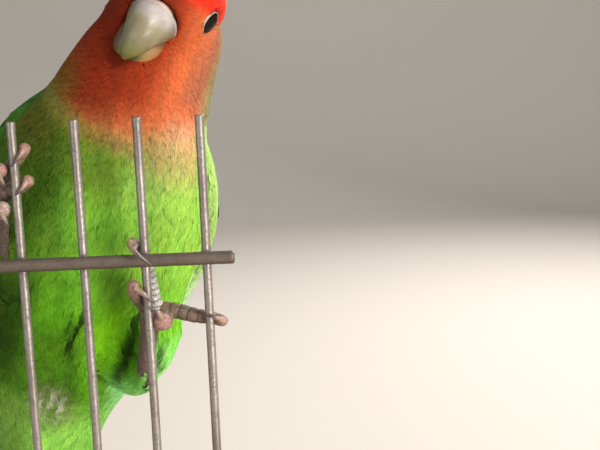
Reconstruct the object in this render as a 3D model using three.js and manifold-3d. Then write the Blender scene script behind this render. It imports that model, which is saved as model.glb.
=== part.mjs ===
// A peach faced lovebird, life size, clinging to a short cut piece of wire grid on a plain display
// stand. Millimetres, +Z up, the bird looking along -Y. The origin is the middle of the base's
// underside. The bird's own left side is at +X.
//
// The body is laid out along a leaning spine: a place on the bird is (t, lateral, y), where t runs
// from the head down to the tail, lateral is to the bird's left and y is towards its back.
import * as THREE from "three";
import { mergeVertices } from "three/addons/utils/BufferGeometryUtils.js";
import Module from "manifold-3d";

const wasm = await Module();
wasm.setup();

// Driving sizes
const GAP = 0.3; // left between two nodes that touch
const SMALLEST_EDGE = 0.04;
const FEATHER_EDGE = 0.2;
const WIRE_PITCH = 13;
const WIRE_RADIUS = 0.95;
const WIRE_FIRST_X = -17.5;
const WIRE_COUNT = 4;
const WIRE_Y = -24; // the plane of the upright wires, in front of the bird
const WIRE_LOW = 62;
const WIRE_HIGH = 142;
const BAR_RADIUS = 1.4;
const BAR_Z = 112;
const BAR_Y = WIRE_Y - WIRE_RADIUS - BAR_RADIUS + 0.5; // half a millimetre of weld
const BAR_OVERHANG = 6;
const BASE_RADIUS = 58;
const BASE_HEIGHT = 10;
const BASE_EDGE = 1.6;
const BASE_STEP = 2.8; // how far the upper edge of the base is set in
const ROD_RADIUS = 1.6;

const SPINE_X = -5.4; // where t is 0
const SPINE_Z = 121.7;
const SPINE_LEAN = [ // t, degrees off the upright
  [-60, 27],
  [-35, 27],
  [-25, 20.2],
  [40, 20.2],
  [60, 7],
  [120, 7],
];
const NECK_TOP = -37; // where the head is parted from the neck
const NECK_FOOT = -24;
const VENT = 50; // where the tail is parted from the torso

// t, lateral middle, y middle, half width, half depth in front, half depth behind
const BODY = [
  [-52, 1.6, 8, 9, 7, 9],
  [-46, 1.8, 8, 12.8, 10.4, 12.5],
  [-38, 1.4, 8, 15.3, 12.8, 14.2],
  [-30, 0.9, 7.6, 17.3, 16.2, 16],
  [-22, 0.2, 7.2, 19.2, 19.8, 18.2],
  [-13, 0, 7, 22.8, 22, 20.5],
  [-3, 0, 7, 25.6, 23.2, 22],
  [8, 0, 7, 26.2, 23.5, 22.4],
  [20, 0, 7, 25.6, 22.6, 21.4],
  [32, 0, 7.2, 23.8, 20.2, 19],
  [42, 0, 7.6, 21.4, 16.6, 16],
  [50, 0, 8.4, 18, 13, 13.2],
  [58, 0, 9.6, 15, 10.6, 10.4],
  [66, 0, 11, 12.5, 8.6, 7.8],
  [74, 0, 12.6, 9.4, 6.6, 5.4],
  [82, 0, 14, 6.4, 4.4, 3.4],
  [88, 0, 15, 2.8, 2, 1.8],
];
// t, then lateral and y of the leading edge, of the bow's corner and of the edge by the midline
const WING = [
  [-26, 12.6, 10, 14.4, 20.6, 7, 22.5],
  [-22, 18.2, 4.6, 20.5, 21.8, 6, 25.5],
  [-13, 24.6, -0.4, 27, 26, 4.5, 28.8],
  [-3, 27.8, 1, 30.6, 28.4, 3, 30.9],
  [8, 28.3, 4.4, 31.4, 29, 2.2, 31.6],
  [20, 26.5, 9, 28.6, 29, 1.8, 31.2],
  [32, 24, 13, 25, 27.6, 1.5, 29.6],
  [44, 19.5, 16.6, 20, 25.8, 1.3, 27.6],
  [56, 15, 19, 15, 24.6, 1.2, 25.8],
  [68, 11.2, 20, 11, 23.4, 1.1, 24.4],
  [80, 7.8, 20.2, 7.6, 22.6, 1.1, 23.2],
  [90, 5, 20.2, 4.8, 22, 1, 22.4],
];
const WING_CORE_END = 60;

const HEAD_CENTRE = new THREE.Vector3(15, 6, 168);
const HEAD_ROLL = 40; // degrees, the crown towards the bird's left
const HEAD_NOD = 4;
// u above the eyes, half width, reach in front, reach behind
const HEAD = [
  [-22, 8, 4.5, 10],
  [-19, 10.6, 7.4, 12.6],
  [-15, 12.2, 9.4, 14.2],
  [-11, 12.8, 10.8, 15],
  [-7, 12.9, 11.6, 15.2],
  [-3, 12.7, 12, 15],
  [0, 12.5, 12.1, 14.7],
  [4, 11.8, 11.6, 13.8],
  [7, 9.8, 10, 12],
  [9.7, 6.8, 7.4, 8.6],
  [11.6, 3, 3.4, 3.8],
];
const FACE_SQUARENESS = 0.8; // 1 is an ellipse, less is squarer
const SLIM_SHARE = 0.115; // how much slimmer the head's right side is under the eye
const SLIM_RANGE = [-22, -15, -6, -1.5]; // u where that begins, is full, is full, and ends
const EYE_RADIUS = 4.6;
const EYE_OPENING = 2.9;
const EYE_HALF_WIDTH = 2.6; // of the part of the eyeball that is modelled
const EYE_RING = 0.5;
const EYE_PLACE = [10.3, 5.6, 0.6]; // left, forward and up from the head's centre, on the ring's plane
const EYE_HOLLOW = [7.5, 1.2]; // reach and depth of the shallow dip round each eye
const EYE_FACING = [0.93, 0.34, 0.1];
const EYE_SUNK = 3.65;

const BILL_PIVOT = [7.5, -11.5]; // forward and up, where the bill's sections turn
// degrees above forward, radius of the inner edge and of the culmen, half width
const BILL_UPPER = [
  [84, 2.2, 9.4, 5],
  [66, 2.6, 10.3, 5.6],
  [46, 3, 11.5, 5.6],
  [26, 3.6, 12.1, 5],
  [8, 4.6, 11.9, 4],
  [-10, 6.2, 11.2, 2.9],
  [-20, 7.6, 10.7, 2],
  [-31, 9, 9.9, 0.7],
];
const BILL_TIP = BILL_UPPER[BILL_UPPER.length - 1][0];
const CERE_FROM = 58; // degrees: the cere is the bill's root above this
const NOSTRIL_RADIUS = 0.75;
// up, reach forward, half width
const BILL_LOWER = [
  [-18.6, 10.4, 1.8],
  [-17.6, 12.4, 3.7],
  [-15.8, 13.8, 5.1],
  [-13.4, 14.4, 5.6],
  [-10.6, 14.2, 5.7],
  [-8.6, 13.4, 5.2],
];
const BILL_LOWER_BACK = 8;

// Smooth reading of a table whose first column rises or falls steadily
function along(table, at) {
  const rising = table[0][0] < table[table.length - 1][0];
  let i = 0;
  while (i < table.length - 2 && (rising ? at > table[i + 1][0] : at < table[i + 1][0])) i++;
  const [a, b] = [table[i], table[i + 1]];
  const before = table[Math.max(i - 1, 0)];
  const after = table[Math.min(i + 2, table.length - 1)];
  const span = b[0] - a[0];
  const k = Math.min(1, Math.max(0, (at - a[0]) / span));
  return a.slice(1).map((value, j) => {
    const next = b[j + 1];
    const slopeIn = i > 0 ? ((next - before[j + 1]) / (b[0] - before[0])) * span : next - value;
    const slopeOut =
      i + 2 < table.length ? ((after[j + 1] - value) / (after[0] - a[0])) * span : next - value;
    const [k2, k3] = [k * k, k * k * k];
    return (
      (2 * k3 - 3 * k2 + 1) * value +
      (k3 - 2 * k2 + k) * slopeIn +
      (3 * k2 - 2 * k3) * next +
      (k3 - k2) * slopeOut
    );
  });
}

const radians = THREE.MathUtils.degToRad;
const mix = THREE.MathUtils.lerp;

function leanAt(t) {
  let i = 0;
  while (i < SPINE_LEAN.length - 2 && t > SPINE_LEAN[i + 1][0]) i++;
  const [[t0, a0], [t1, a1]] = [SPINE_LEAN[i], SPINE_LEAN[i + 1]];
  return radians(mix(a0, a1, (t - t0) / (t1 - t0)));
}

// A place on the bird as a point of the world
function onBird(t, lateral, y) {
  const steps = Math.max(1, Math.ceil(Math.abs(t)));
  let [x, z] = [SPINE_X, SPINE_Z];
  for (let i = 0; i < steps; i++) {
    const lean = leanAt(((i + 0.5) * t) / steps);
    x -= (Math.sin(lean) * t) / steps;
    z -= (Math.cos(lean) * t) / steps;
  }
  const lean = leanAt(t);
  return new THREE.Vector3(x + lateral * Math.cos(lean), y, z - lateral * Math.sin(lean));
}

// Solids
function solidOf(points, triangles) {
  const make = (faces) =>
    new wasm.Manifold(
      new wasm.Mesh({
        numProp: 3,
        vertProperties: new Float32Array(points.flatMap((p) => [p.x, p.y, p.z])),
        triVerts: new Uint32Array(faces.flat()),
      }),
    );
  const made = make(triangles);
  return made.volume() > 0 ? made : make(triangles.map(([a, b, c]) => [a, c, b]));
}

function solidOfGeometry(geometry) {
  const bare = geometry.clone();
  bare.deleteAttribute("normal");
  bare.deleteAttribute("uv");
  const merged = mergeVertices(bare, 1e-4);
  const place = merged.getAttribute("position");
  const points = [];
  for (let i = 0; i < place.count; i++) points.push(new THREE.Vector3().fromBufferAttribute(place, i));
  const faces = [];
  for (let i = 0; i < merged.index.count; i += 3) {
    const face = [0, 1, 2].map((j) => merged.index.getX(i + j));
    if (new Set(face).size === 3) faces.push(face);
  }
  return solidOf(points, faces);
}

// A closed solid through rings of equally many points, with a fan over each end
function loft(rings) {
  const n = rings[0].length;
  const points = rings.flat();
  const triangles = [];
  for (let i = 0; i + 1 < rings.length; i++)
    for (let j = 0; j < n; j++) {
      const k = (j + 1) % n;
      const [a, b, c, d] = [i * n + j, i * n + k, (i + 1) * n + k, (i + 1) * n + j];
      triangles.push([a, b, c], [a, c, d]);
    }
  [0, rings.length - 1].forEach((end) => {
    const middle = new THREE.Vector3();
    rings[end].forEach((p) => middle.addScaledVector(p, 1 / n));
    points.push(middle);
    for (let j = 0; j < n; j++) {
      const [a, b] = [end * n + j, end * n + ((j + 1) % n)];
      triangles.push(end ? [a, b, points.length - 1] : [b, a, points.length - 1]);
    }
  });
  return solidOf(points, triangles);
}

// A round limb along a smooth line through the points, each with its own radius
function limb(stops, sides = 10, steps = 3) {
  const curve = new THREE.CatmullRomCurve3(stops.map(([x, y, z]) => new THREE.Vector3(x, y, z)));
  const count = (stops.length - 1) * steps;
  const frames = curve.computeFrenetFrames(count, false);
  const table = stops.map((stop, i) => [i, stop[3]]);
  const rings = [];
  for (let i = 0; i <= count; i++) {
    const middle = curve.getPoint(i / count);
    const [radius] = along(table, i / steps);
    rings.push(
      Array.from({ length: sides }, (_, j) => {
        const turn = (2 * Math.PI * j) / sides;
        return middle
          .clone()
          .addScaledVector(frames.normals[i], radius * Math.cos(turn))
          .addScaledVector(frames.binormals[i], radius * Math.sin(turn));
      }),
    );
  }
  return loft(rings);
}

// The same solid with its surface moved outwards, for the recess that holds it
function grown(solid, by) {
  const { vertProperties, triVerts, numProp } = solid.getMesh();
  const points = [];
  for (let i = 0; i < vertProperties.length; i += numProp)
    points.push(new THREE.Vector3(...vertProperties.subarray(i, i + 3)));
  const faces = [];
  for (let i = 0; i < triVerts.length; i += 3) faces.push([...triVerts.subarray(i, i + 3)]);
  const ways = points.map(() => new THREE.Vector3());
  const normals = faces.map(([a, b, c]) =>
    points[b].clone().sub(points[a]).cross(points[c].clone().sub(points[a])),
  );
  faces.forEach((face, i) => face.forEach((v) => ways[v].add(normals[i])));
  ways.forEach((way) => way.normalize());
  const least = points.map(() => 1);
  faces.forEach((face, i) => {
    const flat = normals[i].clone().normalize();
    face.forEach((v) => (least[v] = Math.min(least[v], flat.dot(ways[v]))));
  });
  return solidOf(
    points.map((p, i) => p.clone().addScaledVector(ways[i], by / Math.max(0.55, least[i]))),
    faces,
  );
}

const union = (solids) => solids.reduce((all, one) => all.add(one));

// What is left of a solid once only its largest closed surface is kept, without its smallest edges
function largest(solid, edge = SMALLEST_EDGE) {
  return solid
    .simplify(edge)
    .decompose()
    .reduce((best, one) => (one.volume() > best.volume() ? one : best));
}

// The body's own surface
function bodyPoint(t, turn) {
  const [lateral, middle, wide, front, back] = along(BODY, t);
  const depth = Math.sin(turn) > 0 ? back : front;
  return [t, lateral + wide * Math.cos(turn), middle + depth * Math.sin(turn)];
}

const BODY_SIDES = 28;
const BODY_STEP = 5;

function bodySolid(from, to, sides = BODY_SIDES, step = BODY_STEP) {
  const count = Math.ceil((to - from) / step);
  const rings = [];
  for (let i = 0; i <= count; i++) {
    const t = mix(from, to, i / count);
    rings.push(
      Array.from({ length: sides }, (_, j) => onBird(...bodyPoint(t, (2 * Math.PI * j) / sides))),
    );
  }
  return loft(rings);
}

// Keeps what lies below t, or above it, along the spine
function partedAt(solid, t, below) {
  const here = onBird(t, 0, 0);
  const lean = leanAt(t);
  const way = new THREE.Vector3(-Math.sin(lean), 0, -Math.cos(lean)).multiplyScalar(below ? 1 : -1);
  return solid.trimByPlane(way.toArray(), way.dot(here) + GAP / 2);
}

// A feather: a thin vane laid on a surface, from its root to its tip
// surface(a, b) gives { place: [t, lateral, y], out: the way outwards, in the same terms }
const VANE_SHAPE = [
  [0, 0.6],
  [0.4, 0.95],
  [0.72, 1],
  [0.92, 0.72],
  [1, 0.28],
];

function vane(surface, side, { root, tip, width, low, high, tilt = 0, thick = 0.9, rows = 4 }) {
  const across = [-1, 0, 1];
  const top = [];
  const bottom = [];
  for (let i = 0; i <= rows; i++) {
    const k = i / rows;
    const eased = 1 - (1 - k) ** 1.35;
    const at = (share) => surface(mix(root[0], tip[0], share), mix(root[1], tip[1], share));
    const here = at(eased);
    const out = new THREE.Vector3(...here.out);
    const ahead = new THREE.Vector3(...at(Math.min(1, eased + 0.02)).place);
    const behind = new THREE.Vector3(...at(Math.max(0, eased - 0.02)).place);
    const run = ahead.sub(behind).normalize();
    const sideways = new THREE.Vector3().crossVectors(run, out).normalize();
    const half = width * along(VANE_SHAPE, eased)[0];
    across.forEach((j) => {
      const lift = mix(low, high, eased) + tilt * j - 0.3 * j * j;
      const place = new THREE.Vector3(...here.place)
        .addScaledVector(sideways, j * half)
        .addScaledVector(out, lift);
      top.push(place);
      bottom.push(place.clone().addScaledVector(out, -thick));
    });
  }
  const points = [...top, ...bottom].map((p) => onBird(p.x, side * p.y, p.z));
  const n = across.length;
  const under = top.length;
  const faces = [];
  for (let i = 0; i < rows; i++)
    for (let j = 0; j + 1 < n; j++) {
      const [a, b, c, d] = [i * n + j, i * n + j + 1, (i + 1) * n + j + 1, (i + 1) * n + j];
      faces.push([a, b, c], [a, c, d], [under + c, under + b, under + a], [under + d, under + c, under + a]);
    }
  const rim = [];
  for (let j = 0; j < n; j++) rim.push(j);
  for (let i = 1; i <= rows; i++) rim.push(i * n + n - 1);
  for (let j = n - 2; j >= 0; j--) rim.push(rows * n + j);
  for (let i = rows - 1; i >= 1; i--) rim.push(i * n);
  rim.forEach((a, i) => {
    const b = rim[(i + 1) % rim.length];
    faces.push([b, a, under + a], [b, under + a, under + b]);
  });
  return solidOf(points, faces);
}

// The outward way of a surface, from two small steps on it
function withNormal(point, a, b, inside) {
  const here = new THREE.Vector3(...point(a, b));
  const stepA = new THREE.Vector3(...point(a + 0.5, b)).sub(here);
  const stepB = new THREE.Vector3(...point(a, b + 0.02)).sub(here);
  const out = stepA.cross(stepB).normalize();
  const away = new THREE.Vector3(here.x, here.y - inside[0], here.z - inside[1]);
  if (out.dot(away.setX(0)) < 0) out.negate();
  return { place: here.toArray(), out: out.toArray() };
}

const BODY_MIDDLE = [0, 7];
const bodySurface = (t, turn) => withNormal(bodyPoint, t, turn, BODY_MIDDLE);

function wingPoint(t, share) {
  const [leadX, leadY, bowX, bowY, backX, backY] = along(WING, t);
  const [a, b, c] = [(1 - share) ** 2, 2 * share * (1 - share), share ** 2];
  return [t, a * leadX + b * bowX + c * backX, a * leadY + b * bowY + c * backY];
}
const wingSurface = (t, share) => withNormal(wingPoint, t, share, BODY_MIDDLE);

// Wings: a core close to the body, with the flight feathers and coverts on it in tiers
const WING_ROOT_DEPTH = 8;
const WING_FREE_DEPTH = 1.1;
const WING_ACROSS = 5;
const WING_RINGS = 11;

function wingCore(side) {
  const rings = [];
  const from = WING[0][0];
  for (let i = 0; i <= WING_RINGS; i++) {
    const t = mix(from, WING_CORE_END, i / WING_RINGS);
    const free = THREE.MathUtils.smoothstep(t, 42, 52);
    const depth = mix(WING_ROOT_DEPTH, WING_FREE_DEPTH, free) * (i === 0 ? 0.3 : 1);
    const outer = [];
    const inner = [];
    for (let j = 0; j <= WING_ACROSS; j++) {
      const { place, out } = wingSurface(t, j / WING_ACROSS);
      outer.push(onBird(place[0], side * place[1], place[2]));
      const lateral = Math.max(0.6, place[1] - out[1] * depth);
      inner.unshift(onBird(place[0], side * lateral, place[2] - out[2] * depth));
    }
    rings.push([...outer, ...inner]);
  }
  return loft(rings);
}

const PRIMARIES = 7;
const SECONDARIES = 6;
// tiers of coverts: how many, t of the roots, t of the tips, half width, share nearest the leading edge
const COVERTS = [
  { count: 7, root: 0, tip: 20, width: 3.8, first: 0.08 },
  { count: 6, root: -11, tip: 6, width: 4.1, first: 0.08 },
  { count: 5, root: -20, tip: -7, width: 4.1, first: 0.14 },
];

function wingFeathers(side) {
  const made = [];
  for (let i = 0; i < PRIMARIES; i++)
    made.push(
      vane(wingSurface, side, {
        root: [34, 0.1 + 0.07 * i],
        tip: [88 - 5.2 * i, 0.42 + 0.05 * i],
        width: 3.6 - 0.04 * i,
        low: -1.3 + 0.15 * i,
        high: -1.7 + 0.34 * i,
        thick: 0.6,
        rows: 4,
      }),
    );
  for (let i = 0; i < SECONDARIES; i++)
    made.push(
      vane(wingSurface, side, {
        root: [12, 0.1 + 0.145 * i],
        tip: [60 - 2.6 * i, 0.14 + 0.155 * i],
        width: 4.1,
        low: -0.5,
        high: 0.55,
        tilt: -0.12,
        rows: 3,
      }),
    );
  for (const tier of COVERTS)
    for (let i = 0; i < tier.count; i++) {
      const share = tier.first + ((1 - 2 * tier.first) * i) / (tier.count - 1);
      const shift = 1.1 * Math.sin(2.4 * i + tier.tip);
      made.push(
        vane(wingSurface, side, {
          root: [tier.root, share],
          tip: [tier.tip + shift, share + 0.02],
          width: tier.width,
          low: -0.5,
          high: 0.65,
          tilt: -0.12,
          rows: 2,
        }),
      );
    }
  return made;
}

// The tail: the coverts' own mass, twelve tail feathers and two tiers of coverts
const TAIL_PAIRS = 6;
const TAIL_BACK_Y = 17.6;

function tailFeathers() {
  const made = [];
  for (let pair = 0; pair < TAIL_PAIRS; pair++)
    for (const side of [-1, 1]) {
      const plane = (t, lateral) => ({
        place: [t, lateral, TAIL_BACK_Y - 0.45 * pair - 0.03 * (t - 60)],
        out: [0, 0, 1],
      });
      made.push(
        vane(plane, side, {
          root: [57, 1 + 0.75 * pair],
          tip: [109 - 0.9 * pair ** 1.55, 1.5 + 1.42 * pair],
          width: 3.8,
          low: 0,
          high: side > 0 ? 0.04 : 0,
          thick: 0.6,
          rows: 4,
        }),
      );
    }
  return made;
}

function tailCoverts() {
  const made = [];
  const tiers = [
    { turn: 90, spread: 30, count: 4, root: 52.5, tip: 80, width: 3.8 },
    { turn: -90, spread: 76, count: 6, root: 52.5, tip: 73, width: 4.6 },
    { turn: -90, spread: 52, count: 4, root: 62, tip: 87, width: 3.8 },
  ];
  for (const tier of tiers)
    for (let i = 0; i < tier.count; i++) {
      const across = (2 * i) / (tier.count - 1) - 1;
      const turn = radians(tier.turn + tier.spread * across);
      made.push(
        vane(bodySurface, 1, {
          root: [tier.root, turn],
          tip: [tier.tip - 4 * across ** 2 + 1.2 * Math.sin(2.1 * i), turn],
          width: tier.width,
          low: -0.6,
          high: 0.6,
          rows: 2,
        }),
      );
    }
  return made;
}

// The head, in its own terms of left, forward and up
const nod = radians(HEAD_NOD);
const roll = radians(HEAD_ROLL);
const forward = new THREE.Vector3(0, -Math.cos(nod), -Math.sin(nod));
const upright = new THREE.Vector3(0, -Math.sin(nod), Math.cos(nod));
const across = new THREE.Vector3(1, 0, 0);
const headUp = upright.clone().multiplyScalar(Math.cos(roll)).addScaledVector(across, Math.sin(roll));
const headLeft = across.clone().multiplyScalar(Math.cos(roll)).addScaledVector(upright, -Math.sin(roll));

function onHead(left, front, up) {
  return HEAD_CENTRE.clone()
    .addScaledVector(headLeft, left)
    .addScaledVector(forward, front)
    .addScaledVector(headUp, up);
}

function eyeFrame(side) {
  const facing = new THREE.Vector3()
    .addScaledVector(headLeft, side * EYE_FACING[0])
    .addScaledVector(forward, EYE_FACING[1])
    .addScaledVector(headUp, EYE_FACING[2])
    .normalize();
  const ring = onHead(side * EYE_PLACE[0], EYE_PLACE[1], EYE_PLACE[2]);
  const centre = ring.clone().addScaledVector(facing, -EYE_SUNK);
  return { facing, ring, centre };
}

function dipped(point) {
  for (const side of [-1, 1]) {
    const { facing, ring } = eyeFrame(side);
    const share = Math.min(1, point.distanceTo(ring) / EYE_HOLLOW[0]);
    point.addScaledVector(facing, -EYE_HOLLOW[1] * (1 - share ** 2) ** 2);
  }
  return point;
}

const HEAD_SIDES = 26;

// The right side is drawn in under the eye, where the turned head pulls the cheek towards the neck
function slimmed(u) {
  const [low, full, still, high] = SLIM_RANGE;
  const smooth = THREE.MathUtils.smoothstep;
  return 1 - SLIM_SHARE * smooth(u, low, full) * (1 - smooth(u, still, high));
}

function headSolid() {
  const [low, high] = [HEAD[0][0], HEAD[HEAD.length - 1][0]];
  const count = 13;
  const rings = [];
  for (let i = 0; i <= count; i++) {
    const u = mix(low, high, i / count);
    const [wide, front, back] = along(HEAD, u);
    rings.push(
      Array.from({ length: HEAD_SIDES }, (_, j) => {
        const turn = (2 * Math.PI * j) / HEAD_SIDES;
        const [c, s] = [Math.cos(turn), Math.sin(turn)];
        const half = c < 0 ? wide * slimmed(u) : wide;
        if (s < 0) return onHead(half * c, back * s, u);
        const left = half * Math.sign(c) * Math.abs(c) ** FACE_SQUARENESS;
        return dipped(onHead(left, front * s ** FACE_SQUARENESS, u));
      }),
    );
  }
  return loft(rings);
}

// The upper bill's sections from one angle to another
function upperBill(from, to, grow = 0, count = 9) {
  const rings = [];
  for (let i = 0; i <= count; i++) {
    const angle = mix(from, to, i / count);
    const [inner, outer, wide] = along(BILL_UPPER, angle);
    const [middle, half] = [(inner + outer) / 2, (outer - inner) / 2 + grow];
    rings.push(
      Array.from({ length: 14 }, (_, j) => {
        const turn = (2 * Math.PI * j) / 14;
        const reach = middle + half * Math.cos(turn);
        const left = (wide + grow) * Math.sin(turn) * (1 - 0.22 * Math.cos(turn));
        const [front, up] = BILL_PIVOT;
        return onHead(
          left,
          front + reach * Math.cos(radians(angle)),
          up + reach * Math.sin(radians(angle)),
        );
      }),
    );
  }
  return loft(rings);
}

function lowerBill() {
  const count = 6;
  const rings = [];
  for (let i = 0; i <= count; i++) {
    const up = mix(BILL_LOWER[0][0], BILL_LOWER[BILL_LOWER.length - 1][0], i / count);
    const [reach, wide] = along(BILL_LOWER, up);
    const [middle, half] = [(reach + BILL_LOWER_BACK) / 2, (reach - BILL_LOWER_BACK) / 2];
    rings.push(
      Array.from({ length: 12 }, (_, j) => {
        const turn = (2 * Math.PI * j) / 12;
        return onHead(wide * Math.cos(turn), middle + half * Math.sin(turn), up);
      }),
    );
  }
  return loft(rings);
}

function ball(radius, centre, wide = 14, high = 9) {
  const geometry = new THREE.SphereGeometry(radius, wide, high);
  geometry.translate(centre.x, centre.y, centre.z);
  return solidOfGeometry(geometry);
}

function eyeSolid(side) {
  const { facing, ring, centre } = eyeFrame(side);
  const turned = new THREE.Quaternion().setFromUnitVectors(new THREE.Vector3(0, 1, 0), facing);
  const plug = new THREE.CylinderGeometry(EYE_HALF_WIDTH, EYE_HALF_WIDTH, 5, 16);
  plug.applyQuaternion(turned);
  plug.translate(ring.x, ring.y, ring.z);
  const eyeball = new THREE.SphereGeometry(EYE_RADIUS, 16, 14);
  eyeball.applyQuaternion(turned);
  eyeball.translate(centre.x, centre.y, centre.z);
  return solidOfGeometry(eyeball).intersect(solidOfGeometry(plug));
}

function withEyes(head) {
  let made = head;
  for (const side of [-1, 1]) {
    const { facing, ring } = eyeFrame(side);
    const lid = new THREE.TorusGeometry(EYE_OPENING + EYE_RING, EYE_RING, 5, 14);
    lid.applyQuaternion(
      new THREE.Quaternion().setFromUnitVectors(new THREE.Vector3(0, 0, 1), facing),
    );
    lid.translate(ring.x, ring.y, ring.z);
    made = made
      .add(solidOfGeometry(lid))
      .subtract(grown(eyeSolid(side), GAP));
  }
  return made;
}

// Legs. Each stop is x, y, z and a radius
const LEGS = {
  left: {
    thigh: [[-4, 6, 94.6, 15.2], [0.8, 0.6, 90.8, 13.2], [1, -6, 85, 9.2], [2.8, -11, 82.2, 5.6], [4.8, -13.6, 80.4, 2.7]],
    shank: [[5.9, -13.6, 82.2, 2], [6, -15.6, 84.4, 2.35], [6.7, -17.6, 90, 1.95], [8, -19.2, 96.4, 2]],
    pad: [[7.2, -19.3, 96.6, 1.6], [8.4, -19.4, 98.6, 2.5], [9.6, -19.6, 100.8, 1.7]],
    toes: [
      [[9.6, -19.6, 99.8, 1.9], [13.6, -20, 99.5, 1.75], [18, -20.9, 98.5, 1.6], [21.6, -21.3, 97.9, 1.4], [24, -22.6, 97.5, 1.25]],
      [[8.6, -19.8, 99, 1.7], [6.9, -20.4, 101.4, 1.6], [5.7, -21.8, 104, 1.6], [5.6, -23.6, 106, 1.45]],
      [[9.2, -19.8, 99, 1.7], [10.9, -20.5, 98.2, 1.8], [11.4, -22, 97.8, 2], [11.2, -23.7, 98, 1.9]],
      [[9.4, -19.9, 100.4, 1.6], [9.2, -20.6, 104.2, 1.4], [8.6, -21, 108.6, 1.4], [7.4, -21.3, 112.8, 1.35], [6, -23.2, 115.4, 1.3]],
    ],
    claws: [
      [[24.3, -24.3, 97.9, 0.62], [23.4, -25.5, 98.7, 0.5], [22, -25.8, 99.3, 0.34], [20.9, -25.7, 99.5, 0.12]],
      [[6.3, -25.2, 106, 0.66], [7.6, -26, 105.1, 0.55], [9, -26, 103.8, 0.38], [10.2, -25.7, 102.5, 0.12]],
      [[11.2, -25.4, 99.6, 0.66], [10.9, -26.1, 100.6, 0.54], [10.2, -26.3, 101.1, 0.36], [9.2, -26.1, 101.2, 0.12]],
      [[5.6, -25, 115.9, 0.68], [6, -27.2, 115.4, 0.58], [7.8, -28.5, 113.6, 0.4], [10.3, -28.3, 111.4, 0.12]],
    ],
  },
  right: {
    thigh: [[-16, 7, 99, 13], [-21, 0, 103, 12.4], [-24.2, -6.4, 106, 9], [-25.4, -11, 108.6, 5.6], [-25.4, -13.2, 110.4, 2.8]],
    shank: [[-25.5, -12.4, 109.6, 2], [-25.2, -14, 111.6, 2.3], [-24, -16, 117.4, 1.95], [-23, -18.2, 123.6, 2]],
    pad: [[-23.4, -18.4, 123.8, 1.7], [-22.8, -19.3, 126, 2.5], [-22, -19.7, 128.4, 1.9]],
    toes: [
      [[-22.2, -19.7, 127.8, 1.8], [-20, -20.6, 131, 1.6], [-17.6, -21.3, 134, 1.45], [-15.4, -22.7, 136.2, 1.3]],
      [[-22.4, -19.6, 126, 1.8], [-20, -20.9, 126.9, 1.6], [-17.6, -21.3, 128, 1.5], [-15.2, -22.8, 129.4, 1.35]],
      [[-22.6, -19.8, 128.6, 1.8], [-23, -21.4, 130.4, 1.7], [-22, -23, 131.6, 1.7], [-20.6, -23.8, 132, 1.6]],
      [[-22.8, -19.8, 125.4, 1.8], [-23.1, -21.4, 123.8, 1.8], [-22.2, -23, 123.2, 1.9], [-20.8, -23.8, 123.8, 1.8]],
    ],
    claws: [
      [[-15.3, -24.2, 136, 0.6], [-15.7, -25, 135.2, 0.5], [-16.7, -25.5, 134, 0.34], [-17.8, -25.6, 132.8, 0.12]],
      [[-15.3, -24.2, 129.2, 0.6], [-15.7, -25, 128.5, 0.5], [-16.5, -25.5, 127.6, 0.34], [-17.4, -25.6, 126.8, 0.12]],
      [[-20.4, -25.2, 131.2, 0.56], [-19.9, -25.9, 130.3, 0.46], [-19.4, -25.9, 129.3, 0.3], [-19.2, -25.5, 128.4, 0.12]],
      [[-20.4, -25.4, 123, 0.56], [-19.9, -26, 122.1, 0.46], [-19.4, -26, 121.1, 0.3], [-19.2, -25.6, 120.2, 0.12]],
    ],
  },
};

const TOE_SIDES = 7;

function foot(leg, grow = 0) {
  return union([leg.pad, ...leg.toes].map((stops) => grown(limb(stops, TOE_SIDES, 2), grow)));
}

// The stand and the perch
function wireSolid(index, bar) {
  const x = WIRE_FIRST_X + WIRE_PITCH * index;
  const geometry = new THREE.CylinderGeometry(WIRE_RADIUS, WIRE_RADIUS, WIRE_HIGH - WIRE_LOW, 12);
  geometry.rotateX(Math.PI / 2);
  geometry.translate(x, WIRE_Y, (WIRE_LOW + WIRE_HIGH) / 2);
  return solidOfGeometry(geometry).subtract(bar);
}

const BAR_FROM = WIRE_FIRST_X - BAR_OVERHANG;
const BAR_TO = WIRE_FIRST_X + WIRE_PITCH * (WIRE_COUNT - 1) + BAR_OVERHANG;

function barSolid(grow = 0) {
  const radius = BAR_RADIUS + grow;
  const geometry = new THREE.CylinderGeometry(radius, radius, BAR_TO - BAR_FROM, 16);
  geometry.rotateZ(Math.PI / 2);
  geometry.translate((BAR_FROM + BAR_TO) / 2, BAR_Y, BAR_Z);
  return solidOfGeometry(geometry);
}

function rodSolid(x) {
  const length = WIRE_LOW - BASE_HEIGHT - 2 * GAP;
  const geometry = new THREE.CylinderGeometry(ROD_RADIUS, ROD_RADIUS, length, 16);
  geometry.rotateX(Math.PI / 2);
  geometry.translate(x, WIRE_Y, BASE_HEIGHT + GAP + length / 2);
  return solidOfGeometry(geometry);
}

function baseSolid() {
  const profile = [
    [0, 0],
    [BASE_RADIUS - BASE_EDGE, 0],
    [BASE_RADIUS, BASE_EDGE * 1.4],
    [BASE_RADIUS, BASE_HEIGHT * 0.45],
    [BASE_RADIUS - BASE_STEP, BASE_HEIGHT * 0.64],
    [BASE_RADIUS - BASE_STEP, BASE_HEIGHT * 0.76],
    [BASE_RADIUS - BASE_STEP - BASE_EDGE, BASE_HEIGHT * 0.96],
    [BASE_RADIUS - BASE_STEP - 2.4 * BASE_EDGE, BASE_HEIGHT],
    [0, BASE_HEIGHT],
  ].map(([r, z]) => new THREE.Vector2(r, z));
  const geometry = new THREE.LatheGeometry(profile, 28);
  geometry.rotateX(Math.PI / 2);
  return solidOfGeometry(geometry);
}

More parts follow.
